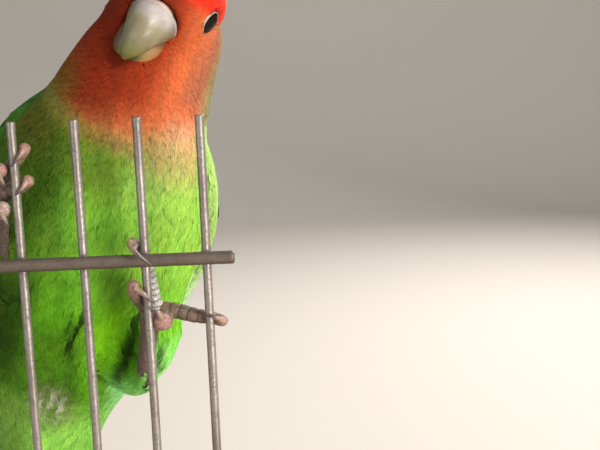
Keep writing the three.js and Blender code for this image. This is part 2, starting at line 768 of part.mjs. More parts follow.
// Colours
const finish = (color, roughness, metalness = 0) =>
  new THREE.MeshStandardMaterial({ color, roughness, metalness });
const MATERIALS = {
  green: finish(0x6aa836, 0.75),
  face: finish(0xd8502e, 0.75),
  bib: finish(0xe08a5c, 0.75),
  wing: finish(0x3f7d2c, 0.65),
  tail: finish(0x4f9440, 0.65),
  skin: finish(0xb59a94, 0.6),
  claw: finish(0x4a3b34, 0.4),
  bill: finish(0xd2cda8, 0.35),
  cere: finish(0xd9c4b4, 0.55),
  eye: finish(0x16100d, 0.1),
  wire: finish(0x8d8078, 0.45, 0.7),
  wood: finish(0x3b2a20, 0.5),
};

const lovebird = new THREE.Group();

function add(name, solid, material) {
  const { vertProperties, triVerts, numProp } = solid.getMesh();
  const places = new Float32Array((vertProperties.length / numProp) * 3);
  for (let i = 0; i < places.length / 3; i++)
    places.set(vertProperties.subarray(i * numProp, i * numProp + 3), i * 3);
  const geometry = new THREE.BufferGeometry();
  geometry.setAttribute("position", new THREE.BufferAttribute(places, 3));
  geometry.setIndex(new THREE.BufferAttribute(triVerts, 1));
  geometry.computeVertexNormals();
  const mesh = new THREE.Mesh(geometry, MATERIALS[material]);
  mesh.name = name;
  lovebird.add(mesh);
}

// Stand and perch
add("stand_base", baseSolid(), "wood");
add("stand_rod_right", rodSolid(WIRE_FIRST_X), "wire");
add("stand_rod_left", rodSolid(WIRE_FIRST_X + WIRE_PITCH * (WIRE_COUNT - 1)), "wire");
add("perch_bar", barSolid(), "wire");
const barRecess = barSolid(GAP);
const wires = Array.from({ length: WIRE_COUNT }, (_, i) => wireSolid(i, barRecess));
wires.forEach((wire, i) => add(`perch_wire_${i + 1}`, wire, "wire"));
const perchRecess = union([barRecess, ...wires.map((wire) => grown(wire, GAP))]);

// Head, neck and torso, modelled whole and parted with thin cuts
const trunk = bodySolid(BODY[0][0], VENT + 2).add(headSolid());
const wholeBillRecess = grown(upperBill(BILL_UPPER[0][0], BILL_TIP, 0.12), GAP);
const billRecess = wholeBillRecess.add(grown(lowerBill(), GAP));
const head = withEyes(partedAt(trunk, NECK_TOP, false)).subtract(billRecess);
add("head", largest(head), "face");
const neck = partedAt(partedAt(trunk, NECK_TOP, true), NECK_FOOT, false).subtract(billRecess);
add("neck", largest(neck), "bib");
add("torso", largest(partedAt(partedAt(trunk, NECK_FOOT, true), VENT, false)), "green");

// Bill and eyes
const cere = upperBill(BILL_UPPER[0][0], CERE_FROM, 0.12, 4);
const nostrils = [-1, 1].map((side) => ball(NOSTRIL_RADIUS, onHead(side * 2.9, 11.2, -3.1), 8, 6));
add("cere", largest(cere.subtract(union(nostrils))), "cere");
const upper = upperBill(CERE_FROM - 1.8, BILL_TIP);
add("bill_upper", largest(upper), "bill");
add("bill_lower", largest(lowerBill().subtract(wholeBillRecess)), "bill");
for (const [side, name] of [[1, "eye_left"], [-1, "eye_right"]])
  add(name, eyeSolid(side), "eye");

// Tail
const coverts = partedAt(bodySolid(VENT - 4, BODY[BODY.length - 1][0], 24, 8), VENT, true);
const tail = partedAt(union([coverts, ...tailFeathers(), ...tailCoverts()]), VENT, true);
add("tail", largest(tail, FEATHER_EDGE), "tail");

// Legs and wings
const bodyRecess = grown(bodySolid(BODY[0][0], BODY[BODY.length - 1][0]), GAP).add(
  grown(headSolid(), GAP),
);
for (const [side, name] of [[1, "left"], [-1, "right"]]) {
  const leg = LEGS[name];
  const shank = limb(leg.shank, 10, 3).subtract(foot(leg, GAP)).subtract(bodyRecess);
  const thigh = limb(leg.thigh, 16, 3).subtract(bodyRecess).subtract(grown(shank, GAP));
  add(`thigh_${name}`, largest(thigh), "green");
  add(`shank_${name}`, largest(shank), "skin");
  add(`foot_${name}`, largest(foot(leg).subtract(perchRecess)), "skin");
  leg.claws.forEach((claw, i) => {
    const held = grown(limb(leg.toes[i], TOE_SIDES, 2), GAP).add(perchRecess);
    add(`claw_${name}_${i + 1}`, largest(limb(claw, 6, 2).subtract(held)), "claw");
  });
  const wing = union([wingCore(side), ...wingFeathers(side)])
    .subtract(bodyRecess)
    .subtract(grown(limb(leg.thigh, 16, 3), GAP));
  add(`wing_${name}`, largest(wing, FEATHER_EDGE), "wing");
}

export default lovebird;
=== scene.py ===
# Looks of a peach faced lovebird, life size, clinging to a short cut piece of wire grid on a
# plain display stand. Sizes are in millimetres until a mesh is made, and then in metres.
import math
from functools import partial

import bpy
import numpy as np
from mathutils import Matrix, Vector
from mathutils.bvhtree import BVHTree
from mathutils.kdtree import KDTree


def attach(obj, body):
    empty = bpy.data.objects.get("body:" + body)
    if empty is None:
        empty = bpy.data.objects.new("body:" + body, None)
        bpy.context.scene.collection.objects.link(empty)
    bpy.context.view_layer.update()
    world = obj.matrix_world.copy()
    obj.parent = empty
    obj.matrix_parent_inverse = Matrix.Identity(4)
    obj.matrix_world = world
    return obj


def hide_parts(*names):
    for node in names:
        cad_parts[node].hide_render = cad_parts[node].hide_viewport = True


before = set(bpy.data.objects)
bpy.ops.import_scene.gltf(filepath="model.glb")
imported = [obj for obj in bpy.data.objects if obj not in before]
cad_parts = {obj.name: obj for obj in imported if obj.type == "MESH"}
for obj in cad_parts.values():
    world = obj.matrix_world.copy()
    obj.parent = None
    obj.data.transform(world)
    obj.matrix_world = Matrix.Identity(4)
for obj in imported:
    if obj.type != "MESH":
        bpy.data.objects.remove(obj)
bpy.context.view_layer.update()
MM = 0.001
rng = np.random.default_rng(11)

# The camera, in the frame of the model
CAMERA_PLACE = (38.167, -232.796, 152.333)
CAMERA_AWAY = (0.016039, 0.986567, -0.162569)
CAMERA_RIGHT = (0.999043, -0.02243, -0.037553)
CAMERA_LENS = 60.0
SENSOR_WIDTH = 36.0

# The bird's own places: t runs down the spine from the head, lateral is to the bird's left and y
# is towards its back
SPINE_PLACE = (-5.4, 121.7)
SPINE_STEP = 0.25
SPINE_T = np.arange(-60, 120 + SPINE_STEP, SPINE_STEP)
# t, and the spine's lean in degrees
SPINE_LEAN = [(-60, 27), (-35, 27), (-25, 20.2), (40, 20.2), (60, 7), (120, 7)]
# t, lateral middle, y middle, half width, half depth in front, half depth behind
BODY = [
    (-52, 1.6, 8, 9, 7, 9),
    (-46, 1.8, 8, 12.8, 10.4, 12.5),
    (-38, 1.4, 8, 15.3, 12.8, 14.2),
    (-30, 0.9, 7.6, 17.3, 16.2, 16),
    (-22, 0.2, 7.2, 19.2, 19.8, 18.2),
    (-13, 0, 7, 22.8, 22, 20.5),
    (-3, 0, 7, 25.6, 23.2, 22),
    (8, 0, 7, 26.2, 23.5, 22.4),
    (20, 0, 7, 25.6, 22.6, 21.4),
    (32, 0, 7.2, 23.8, 20.2, 19),
    (42, 0, 7.6, 21.4, 16.6, 16),
    (50, 0, 8.4, 18, 13, 13.2),
    (58, 0, 9.6, 15, 10.6, 10.4),
    (66, 0, 11, 12.5, 8.6, 7.8),
    (74, 0, 12.6, 9.4, 6.6, 5.4),
    (82, 0, 14, 6.4, 4.4, 3.4),
    (88, 0, 15, 2.8, 2, 1.8),
]
BODY_RING_GAP = 1.5
# t, then lateral and y of the leading edge, of the bow's corner and of the edge by the midline
WING = [
    (-26, 12.6, 10, 14.4, 20.6, 7, 22.5),
    (-22, 18.2, 4.6, 20.5, 21.8, 6, 25.5),
    (-13, 24.6, -0.4, 27, 26, 4.5, 28.8),
    (-3, 27.8, 1, 30.6, 28.4, 3, 30.9),
    (8, 28.3, 4.4, 31.4, 29, 2.2, 31.6),
    (20, 26.5, 9, 28.6, 29, 1.8, 31.2),
    (32, 24, 13, 25, 27.6, 1.5, 29.6),
    (44, 19.5, 16.6, 20, 25.8, 1.3, 27.6),
    (56, 15, 19, 15, 24.6, 1.2, 25.8),
    (68, 11.2, 20, 11, 23.4, 1.1, 24.4),
    (80, 7.8, 20.2, 7.6, 22.6, 1.1, 23.2),
    (90, 5, 20.2, 4.8, 22, 1, 22.4),
]
WING_SHARES = np.linspace(0, 1, 25)
WING_CORE_END = 50
WING_ROOT_DEPTH = 8
WING_EDGE_DEPTH = 1.5
TAIL_BACK_Y = 17.6

# The head's own terms: left, forward and up from its centre
HEAD_CENTRE = (15, 6, 168)
HEAD_ROLL = math.radians(40)
HEAD_NOD = math.radians(4)
EYE_RADIUS = 4.6
EYE_OPENING = 2.9
EYE_PLACE = (10.3, 5.6, 0.6)
EYE_FACING = (0.93, 0.34, 0.1)
EYE_SUNK = 3.65
BILL_PIVOT = (7.5, -11.5)
# degrees above forward, radius of the inner edge and of the culmen, half width
BILL_UPPER = [
    (84, 2.2, 9.4, 5),
    (66, 2.6, 10.3, 5.6),
    (46, 3, 11.5, 5.6),
    (26, 3.6, 12.1, 5),
    (8, 4.6, 11.9, 4),
    (-10, 6.2, 11.2, 2.9),
    (-20, 7.6, 10.7, 2),
    (-31, 9, 9.9, 0.7),
]
CERE_FROM = 58
CERE_RISE = 0.12
# up, reach forward, half width
BILL_LOWER = [
    (-18.6, 10.4, 1.8),
    (-17.6, 12.4, 3.7),
    (-15.8, 13.8, 5.1),
    (-13.4, 14.4, 5.6),
    (-10.6, 14.2, 5.7),
    (-8.6, 13.4, 5.2),
]
BILL_LOWER_BACK = 8
LOWER_SHIFT = 0.4
LOWER_NARROWER = 0.5
BILL_TIP_PLACE = (0.4, 14.6, -15.4)
NOSTRIL_PLACES = [(side * 2.9, 11.2, -3.1) for side in (1, -1)]
NOSTRIL_RADIUS = 0.75
NOSTRIL_DEPTH = 1.2


# Sums
def length_of(vectors):
    return np.linalg.norm(vectors, axis=-1)


def unit(vectors):
    vectors = np.asarray(vectors, float)
    return vectors / np.maximum(length_of(vectors), 1e-9)[..., None]


def dot(a, b):
    return np.einsum("ij,ij->i", a, b)


def distance(points, place):
    return length_of(points - np.asarray(place, float))


def rise(value, low, high):
    """Smoothly from 0 at low to 1 at high, and the other way where high is the lower one."""
    k = np.clip((np.asarray(value, float) - low) / (high - low), 0, 1)
    return k * k * (3 - 2 * k)


def circle(count):
    return np.linspace(0, 2 * math.pi, count, endpoint=False)


def around(turn, across, upwards):
    """Places on a circle of radius 1 that two ways at right angles span."""
    return np.cos(turn)[:, None] * across + np.sin(turn)[:, None] * upwards


def along(table, at):
    """Smooth reading of a table whose first column rises or falls steadily."""
    table = np.asarray(table, float)
    if table[0, 0] > table[-1, 0]:
        table = table[::-1]
    x, v = table[:, 0], table[:, 1:]
    at = np.clip(np.atleast_1d(np.asarray(at, float)), x[0], x[-1])
    i = np.clip(np.searchsorted(x, at, side="right") - 1, 0, len(x) - 2)
    before, after = np.maximum(i - 1, 0), np.minimum(i + 2, len(x) - 1)
    span = (x[i + 1] - x[i])[:, None]
    k = (at - x[i])[:, None] / span
    slope_in = (v[i + 1] - v[before]) / (x[i + 1] - x[before])[:, None] * span
    slope_out = (v[after] - v[i]) / (x[after] - x[i])[:, None] * span
    k2, k3 = k * k, k * k * k
    ends = (2 * k3 - 3 * k2 + 1) * v[i] + (k3 - 2 * k2 + k) * slope_in
    return ends + (3 * k2 - 2 * k3) * v[i + 1] + (k3 - k2) * slope_out


def smooth_line(stops, count):
    """A smooth line of many places through a few stops of x, y, z and radius."""
    table = np.concatenate([np.arange(len(stops))[:, None], stops], 1)
    return along(table, np.linspace(0, len(stops) - 1, count))


# Places on the bird
def lean_at(t):
    return np.radians(np.interp(t, *np.array(SPINE_LEAN, float).T))


def spine_table():
    lean = lean_at(SPINE_T[:-1] + SPINE_STEP / 2)
    x = np.concatenate([[0], np.cumsum(-np.sin(lean) * SPINE_STEP)])
    z = np.concatenate([[0], np.cumsum(-np.cos(lean) * SPINE_STEP)])
    start = np.argmin(abs(SPINE_T))
    return x - x[start] + SPINE_PLACE[0], z - z[start] + SPINE_PLACE[1]


SPINE_X, SPINE_Z = spine_table()


def on_bird(t, lateral, y):
    t, lateral, y = np.broadcast_arrays(*(np.asarray(v, float) for v in (t, lateral, y)))
    lean = lean_at(t)
    x = np.interp(t, SPINE_T, SPINE_X) + lateral * np.cos(lean)
    z = np.interp(t, SPINE_T, SPINE_Z) - lateral * np.sin(lean)
    return np.stack([x, y, z], -1)


def bird_terms(points):
    """t, lateral and y of points in the world."""
    coarse = SPINE_T[::8]
    lean = lean_at(coarse)
    dx = points[:, :1] - np.interp(coarse, SPINE_T, SPINE_X)
    dz = points[:, 2:] - np.interp(coarse, SPINE_T, SPINE_Z)
    ahead = -np.sin(lean) * dx - np.cos(lean) * dz
    best = np.argmin(abs(ahead), 1)
    row = np.arange(len(points))
    lateral = (np.cos(lean) * dx - np.sin(lean) * dz)[row, best]
    return coarse[best] + ahead[row, best], lateral, points[:, 1]


def spine_way(t):
    lean = lean_at(t)
    return np.stack([-np.sin(lean), np.zeros_like(lean), -np.cos(lean)], -1)


HEAD_FORWARD = np.array([0, -math.cos(HEAD_NOD), -math.sin(HEAD_NOD)])
UPRIGHT = np.array([0, -math.sin(HEAD_NOD), math.cos(HEAD_NOD)])
ACROSS = np.array([1.0, 0, 0])
HEAD_UP = UPRIGHT * math.cos(HEAD_ROLL) + ACROSS * math.sin(HEAD_ROLL)
HEAD_LEFT = ACROSS * math.cos(HEAD_ROLL) - UPRIGHT * math.sin(HEAD_ROLL)
HEAD_AXES = np.stack([HEAD_LEFT, HEAD_FORWARD, HEAD_UP])


def on_head(left, front, up):
    terms = np.stack(np.broadcast_arrays(*(np.asarray(v, float) for v in (left, front, up))), -1)
    return np.asarray(HEAD_CENTRE) + terms @ HEAD_AXES


def head_terms(points):
    return ((points - np.asarray(HEAD_CENTRE)) @ HEAD_AXES.T).T


def eye_frame(side):
    """The way an eye faces, the middle of its ring and the eyeball's centre."""
    mirrored = np.array([side, 1, 1])
    facing = unit(mirrored * EYE_FACING @ HEAD_AXES)
    ring = on_head(*(mirrored * EYE_PLACE))
    return facing, ring, ring - facing * EYE_SUNK


EYE_RINGS = [eye_frame(side)[1] for side in (1, -1)]


def wing_point(t, share):
    """lateral and y on the outside of the folded wing."""
    table = along(WING, t)
    share = np.broadcast_to(np.asarray(share, float), table.shape[:1])
    a, b, c = (1 - share) ** 2, 2 * share * (1 - share), share**2
    lateral = a * table[:, 0] + b * table[:, 2] + c * table[:, 4]
    return lateral, a * table[:, 1] + b * table[:, 3] + c * table[:, 5]


def wing_place(side, t, share):
    t, share = np.broadcast_arrays(np.atleast_1d(t).astype(float), np.asarray(share, float))
    lateral, y = wing_point(t, share)
    return on_bird(t, side * lateral, y)


def wing_out(side, t, share):
    """The way out of the wing's surface."""
    here = wing_place(side, t, share)
    down = wing_place(side, np.asarray(t) + 0.5, share) - here
    over = wing_place(side, t, np.asarray(share) + 0.02) - here
    out = unit(np.cross(down, over))
    out[dot(out, here - on_bird(np.atleast_1d(t), 0, 7)) < 0] *= -1
    return out


def on_wing(t, lateral, y):
    """How far places belong to a folded wing's outside, and their share across it."""
    nearest = np.full(len(t), 1e9)
    best = np.zeros(len(t))
    for share in WING_SHARES:
        wing_lateral, wing_y = wing_point(t, share)
        off = np.hypot(abs(lateral) - wing_lateral, y - wing_y)
        closer = off < nearest
        nearest[closer] = off[closer]
        best[closer] = share
    inside = (t > WING[0][0] - 1) & (t < WING_CORE_END + 2)
    return np.where(inside, rise(nearest, 3.4, 2.4), 0), best


# Colours, as the photograph shows them where it does
def tone(red, green, blue):
    c = np.array([red, green, blue], float) / 255
    return np.where(c <= 0.04045, c / 12.92, ((c + 0.055) / 1.055) ** 2.4)


BLACK = tone(0, 0, 0)
BREAST = tone(97, 145, 40)
BREAST_TOP = tone(84, 102, 28)
BREAST_SIDE = tone(110, 140, 68)
BELLY = tone(90, 152, 22)
BELLY_LOW = tone(68, 112, 14)
SHADED = tone(50, 76, 11)
FLANK = tone(124, 162, 60)
LOBE = tone(124, 190, 20)
OLIVE = tone(96, 84, 22)
BACK = tone(58, 128, 34)
NAPE_IN_SHADE = tone(104, 96, 72)
PALE = tone(124, 112, 68)
DULL = tone(102, 104, 44)
UNDERTAIL = tone(130, 186, 74)
UNDERTAIL_EDGE = tone(160, 226, 150)
UNDERTAIL_DULL = tone(84, 102, 38)
RUMP = tone(34, 112, 196)
SALMON = tone(196, 134, 108)
SALMON_MIDDLE = tone(156, 88, 50)
ROSE = tone(130, 44, 18)
ROSE_SIDE = tone(170, 84, 46)
CHEEK = tone(142, 80, 58)
ROSE_IN_SHADE = tone(104, 29, 6)
CROWN = tone(178, 38, 19)
VENT = tone(208, 206, 184)
VENT_DOWN = tone(104, 100, 64)
WING_GREEN = tone(50, 112, 32)
WING_EDGE = tone(182, 212, 150)
WING_BEND = tone(132, 160, 84)
FLIGHT_DARK = tone(34, 36, 38)
FLIGHT_GREEN = tone(34, 112, 74)
TAIL_GREEN = tone(66, 146, 62)
TAIL_BLUE = tone(60, 140, 150)
TAIL_RED = tone(214, 84, 40)
TAIL_BLACK = tone(24, 26, 26)
HORN_ROOT = tone(164, 155, 152)
HORN = tone(118, 108, 80)
HORN_TIP = tone(106, 112, 50)
HORN_LOWER = tone(124, 112, 56)
HORN_FLUSH = tone(150, 84, 50)
HORN_IN_SHADE = tone(70, 46, 16)
MOUTH_LINE_SHADE = tone(34, 40, 14)
CERE_SKIN = tone(184, 158, 144)
PUPIL = tone(6, 5, 5)
IRIS = tone(26, 15, 10)
LID = tone(150, 138, 120)
TOE_SKIN = tone(100, 82, 66)
TOE_PAD = tone(148, 108, 98)
SHANK_SKIN = tone(86, 68, 60)
SCUTE_GROOVE = tone(62, 46, 38)
SCALE_WHITE = tone(176, 174, 168)
CLAW_ROOT = tone(150, 124, 106)
CLAW_TIP = tone(62, 48, 44)
STEEL = tone(134, 125, 118)
STEEL_DARK = tone(100, 87, 77)
ROD_STEEL = tone(176, 172, 168)
ROD_STEEL_DARK = tone(150, 145, 140)
WOOD = tone(58, 36, 24)
WOOD_LIGHT = tone(104, 68, 44)
WOOD_LINE = tone(34, 20, 13)
FLOOR = tone(196, 188, 178)

# Slow changes of lightness: waves across and along the plumage per mm, and a phase
CLUMP_WAVES = [
    (1.05, 0.16, 0.4), (0.62, -0.23, 2.1), (1.7, 0.31, 4.0), (0.31, 0.12, 5.2), (2.3, -0.42, 1.3),
]
# Where the plumage parts: the skin sinks into a crease there, darkened by painted shade, and the
# second is a painted shadow of the bar and the foot. t and lateral along the parting, its half
# width, and how far it opens
PARTINGS = [
    ([(21, 17.2), (25.5, 18.1), (29.5, 18.2), (34.5, 17.8)], 2.8, 1.0),
    ([(13.5, 10), (19, 12.5)], 5, 0.3),
    ([(23.6, 6.4), (28.4, 5.5), (33, 4.6)], 1.9, 1.0),
    ([(23.4, 3.7), (28.3, 3.2)], 1.1, 0.8),
    ([(31, 4.9), (38.3, 7.1), (46, 8.1)], 2.8, 0.35),
    ([(-15.4, -4.6), (-15.9, -0.8), (-15.6, 2.6), (-15.1, 5.3), (-13.5, 6.9)], 1.3, 0.3),
    ([(26.7, 24.2), (32, 25.3)], 1.1, 0.9),
]


def clumps(t, lateral, y):
    """From about -1 to 1, in streaks that run down the plumage."""
    across = lateral + 0.8 * y
    waves = [np.sin(a * across + b * t + c + 0.6 * np.sin(0.21 * t + c)) for a, b, c in CLUMP_WAVES]
    return np.sum(waves, axis=0) / math.sqrt(len(CLUMP_WAVES) * 2)


def parted(t, lateral, y):
    """How far the plumage is parted, 0 to 1."""
    opened = np.zeros(len(t))
    for line, width, strength in PARTINGS:
        at = np.linspace(0, len(line) - 1, 24)
        spots = [np.interp(at, np.arange(len(line)), column) for column in np.array(line, float).T]
        off = np.hypot(t[:, None] - spots[0], lateral[:, None] - spots[1]).min(1)
        opened = np.maximum(opened, strength * rise(off, width, 0.25 * width))
    return opened * (y < 4)


def blend(a, b, share):
    share = np.asarray(share, float)[..., None]
    return a * (1 - share) + b * share


def layered(colour, *layers):
    """A colour with others laid over it one after another, each by its share."""
    for over, share in layers:
        colour = blend(colour, over, share)
    return colour


def plumage(points):
    """The colour of the plumage at places on the body and the wings' cores."""
    t, lateral, y = bird_terms(points)
    right = -lateral
    top = rise(t, 2, -9)
    shoulder = rise(right, 6, 16) * rise(t, -4, -14)
    lobe = np.hypot((t - 28) / 11, (lateral - 12.5) / 4)
    vent = np.hypot((t - 50) / 1.3, lateral - 3.4)
    streaks = rise(np.sin(2.6 * lateral + 0.5 * t), -0.1, 1)
    # Painted shade on the bird's right flank
    painted_shade_away_side = rise(right, 2, 8) * rise(right, 20, 10) * rise(t, 10, 22) * rise(t, 54, 36)
    # The back's green, darkened by painted shade near the right shoulder
    back = blend(BACK, BLACK, 0.6 * rise(right, 5, 13) * rise(t, 0, -12))
    bib = face_share(points, t, lateral, y)
    border = 4 * bib * (1 - bib) * rise(y, 10, 2)
    colour = layered(
        BREAST,
        (BELLY, rise(t, 4, 30)),
        (BREAST_TOP, 0.8 * top * rise(lateral, 12, 2)),
        (BREAST_SIDE, 0.9 * top * rise(lateral, 3, 12)),
        (SHADED, 0.85 * rise(right, 0, 13)),
        # The left flank is lighter, partly its own colour and partly painted light
        (FLANK, 0.85 * rise(lateral, 5, 18) * rise(t, 24, -4)),
        (BELLY_LOW, 0.9 * rise(t, 22, 32) * rise(lateral, 11, 5)),
        # The right shoulder: olive, partly its own colour and partly painted shade, then darkened by
        # painted shade
        (OLIVE, 0.5 * shoulder),
        (BLACK, 0.2 * shoulder),
        (LOBE, 0.8 * rise(lobe, 1.2, 0.4)),
        (UNDERTAIL, rise(t, 44, 58)),
        (UNDERTAIL_EDGE, 0.8 * rise(t, 32, 42) * rise(lateral, 13, 19)),
        (UNDERTAIL_EDGE, 0.3 * rise(t, 22, 30) * rise(lateral, 21, 25)),
        (VENT_DOWN, 0.55 * rise(vent, 8, 3)),
        (VENT, 0.55 * streaks * rise(vent, 5.5, 1.5)),
        (UNDERTAIL_DULL, 0.6 * rise(right, -1, 4) * rise(t, 46, 53)),
        # Painted shade low on the right, between the belly and the right thigh, and over the right flank
        (BLACK, 0.5 * rise(right, 13, 20) * rise(t, 6, 14)),
        (BLACK, 0.68 * painted_shade_away_side),
        (back, rise(y, 4, 16)),
        # Painted shade greys the side of the neck, seen edge on
        (NAPE_IN_SHADE, 0.9 * rise(t, -18, -26) * rise(lateral, 4, 12) * rise(y, 14, 8)),
        (RUMP, rise(t, 27, 37) * rise(y, 12, 20)),
        (face_colour(points, t, lateral), bib),
        (PALE, 0.5 * border * rise(right, 4, -4)),
        (DULL, 0.6 * border * rise(right, -2, 8)),
    )
    light = 1 + 0.08 * clumps(t, lateral, y)
    colour = colour * np.stack([light * light, light, light], 1)
    # Painted shade in the creases where the plumage parts
    colour = blend(colour, BLACK, 0.88 * parted(t, lateral, y))
    wing, share = on_wing(t, lateral, y)
    return blend(colour, wing_colour(t, share, lateral), wing)


def face_share(points, t, lateral, y):
    """Where the red of the face and the pink of the bib are, fading out over the breast."""
    left, front, up = head_terms(points)
    front = front + 0.7 * np.sin(1.7 * left + 1) + 0.4 * np.sin(3.9 * left)
    side = 5 * rise(lateral, 6, 12)
    border = t + 15.4 - 1.3 * rise(lateral, 4, 11) + 0.02 * np.maximum(0, -lateral - 1) ** 2
    border = border + 30 * rise(y + side, 1, 14)
    fade = 3.2 + 5 * rise(lateral, 3, 14)
    bib = 1 - rise(border / fade, -1.4, 1)
    reach = rise(front, -7, 0.5)
    reach = np.where(up > 4, np.minimum(reach, rise(front, -5, 2)), reach)
    return bib * np.maximum(reach, rise(t, -38, -31))


def face_colour(points, t, lateral):
    _, front, up = head_terms(points)
    return layered(
        SALMON_MIDDLE,
        (SALMON, rise(lateral, 8, 15)),
        # Rose, lighter on the left and darker on the throat and right: partly painted light and shade
        (ROSE_SIDE, rise(t, -18, -28)),
        (ROSE, rise(t, -18, -28) * rise(lateral, 11, 3)),
        (CHEEK, rise(t, -24, -32) * rise(lateral, 10, 14)),
        # Painted shade on the right side of the neck and throat
        (ROSE_IN_SHADE, 0.9 * rise(-lateral, -9, 6) * rise(t, -14, -24)),
        # Olive on the right of the neck, partly its own colour and partly painted shade
        (OLIVE, 0.7 * rise(-lateral, 7, 15) * rise(t, -34, -22)),
        (CROWN, rise(up, 0, 3.5) * rise(front, -3, 3)),
    )


def wing_colour(t, share, lateral):
    """The green of the wing's coverts: lighter along the bend, on the left wing mostly as painted light,
    and darker by painted shade on the right wing's shoulder.
    """
    # The left wing's bend faces the light: painted light there, and little of it on the right wing
    side = np.where(lateral > 0, 1, 0.15)
    return layered(
        WING_GREEN,
        (WING_BEND, rise(share, 0.28, 0.1) * rise(t, 22, 10) * side),
        (WING_EDGE, 0.6 * rise(share, 0.22, 0.02) * rise(t, 6, 16) * side),
        # Painted shade on the right wing's shoulder
        (BLACK, 0.6 * rise(-lateral, 5, 13) * rise(share, 0.8, 0.3) * rise(t, 14, -4)),
    )


# Meshes
def linked(name, data):
    made = bpy.data.objects.new(name, data)
    bpy.context.scene.collection.objects.link(made)
    return made


def mesh_object(name, points, triangles, material, colours=None, uv=None, vane=None):
    """An object from points in millimetres and triangles, with what goes with each point."""
    mesh = bpy.data.meshes.new(name)
    points, triangles = np.asarray(points, float), np.asarray(triangles, int)
    mesh.vertices.add(len(points))
    mesh.loops.add(triangles.size)
    mesh.polygons.add(len(triangles))
    for rows, key, values in (
        (mesh.vertices, "co", points * MM),
        (mesh.loops, "vertex_index", triangles),
        (mesh.polygons, "loop_start", np.arange(0, triangles.size, 3)),
        (mesh.polygons, "loop_total", np.full(len(triangles), 3)),
        (mesh.polygons, "use_smooth", np.ones(len(triangles), bool)),
    ):
        rows.foreach_set(key, values.ravel())
    mesh.update(calc_edges=True)
    if colours is not None:
        rgba = np.concatenate([np.clip(colours, 0, 1), np.ones((len(colours), 1))], 1)
        layer = mesh.attributes.new("tint", "FLOAT_COLOR", "POINT")
        layer.data.foreach_set("color", rgba.ravel())
    if vane is not None:
        layer = mesh.attributes.new("vane", "FLOAT_VECTOR", "POINT")
        layer.data.foreach_set("vector", vane.ravel())
    if uv is not None:
        layer = mesh.uv_layers.new(name="OFBake")
        layer.data.foreach_set("uv", uv[triangles.ravel()].ravel())
    mesh.materials.append(material)
    return linked(name, mesh)


def dressed(made, nodes):
    """The object rides on the part and stands for these nodes, which are hidden."""
    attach(made, "root")
    if nodes:
        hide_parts(*nodes)
    return made


def piece(name, slot, nodes, *mesh):
    return dressed(mesh_object(name, *mesh), nodes)


def read_mesh(mesh):
    """Points in millimetres, triangles and the normals at the points."""
    points, normals = (np.empty(len(mesh.vertices) * 3) for _ in range(2))
    mesh.vertices.foreach_get("co", points)
    mesh.vertices.foreach_get("normal", normals)
    mesh.calc_loop_triangles()
    triangles = np.empty(len(mesh.loop_triangles) * 3, int)
    mesh.loop_triangles.foreach_get("vertices", triangles)
    return points.reshape(-1, 3) / MM, triangles.reshape(-1, 3), normals.reshape(-1, 3)


def node_mesh(name):
    return read_mesh(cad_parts[name].data)[:2]


def loft(rings, caps=True):
    """A surface through rings of equally many points, with a fan over each end, facing outwards."""
    rings = np.asarray(rings, float)
    count, n = rings.shape[:2]
    points = rings.reshape(-1, 3)
    j = np.arange(n)
    k = (j + 1) % n
    row = n * np.arange(count - 1)[:, None]
    a, b, c, d = row + j, row + k, row + n + k, row + n + j
    triangles = [np.stack(corners, -1).reshape(-1, 3) for corners in ((a, b, c), (a, c, d))]
    if caps:
        points = np.concatenate([points, rings[0].mean(0)[None], rings[-1].mean(0)[None]])
        first, end = count * n, (count - 1) * n
        triangles.append(np.stack([k, j, np.full(n, first)], -1))
        triangles.append(np.stack([end + j, end + k, np.full(n, first + 1)], -1))
    triangles = np.concatenate(triangles)
    a, b, c = (points[triangles[:, i]] for i in range(3))
    volume = dot(a, np.cross(b, c)).sum()
    return points, triangles if volume > 0 else triangles[:, ::-1]


def joined(parts):
    """Several sets of points, triangles and what goes with the points as one."""
    offsets = np.cumsum([0] + [len(part[0]) for part in parts])
    columns = list(zip(*parts))
    columns[1] = [np.asarray(faces) + offset for faces, offset in zip(columns[1], offsets)]
    return [np.concatenate(column) for column in columns]


def tube(stops, sides=20, rows=8, ends=1.0):
    """A round limb along a smooth line through stops of x, y, z and radius, with rounded ends."""
    line = smooth_line(stops, (len(stops) - 1) * rows + 1)
    middle, radius = line[:, :3], line[:, 3]
    way = unit(np.gradient(middle, axis=0))
    up = np.zeros_like(way)
    up[0] = unit(np.cross(way[0], [0.3, 0.2, 1]))
    for i in range(1, len(way)):
        up[i] = unit(up[i - 1] - way[i] * np.dot(up[i - 1], way[i]))
    cap = np.radians([80, 60, 40, 20])
    last = len(middle) - 1
    stations = [(0, -a) for a in cap] + [(i, 0) for i in range(last + 1)]
    stations += [(last, a) for a in cap[::-1]]
    rings = []
    for i, a in stations:
        place = middle[i] + way[i] * radius[i] * math.sin(a) * ends
        ring = around(circle(sides), up[i], np.cross(way[i], up[i]))
        rings.append(place + radius[i] * math.cos(a) * ring)
    return loft(rings)


def point_tree(points):
    tree = KDTree(len(points))
    for i, p in enumerate(points):
        tree.insert(p, i)
    tree.balance()
    return tree


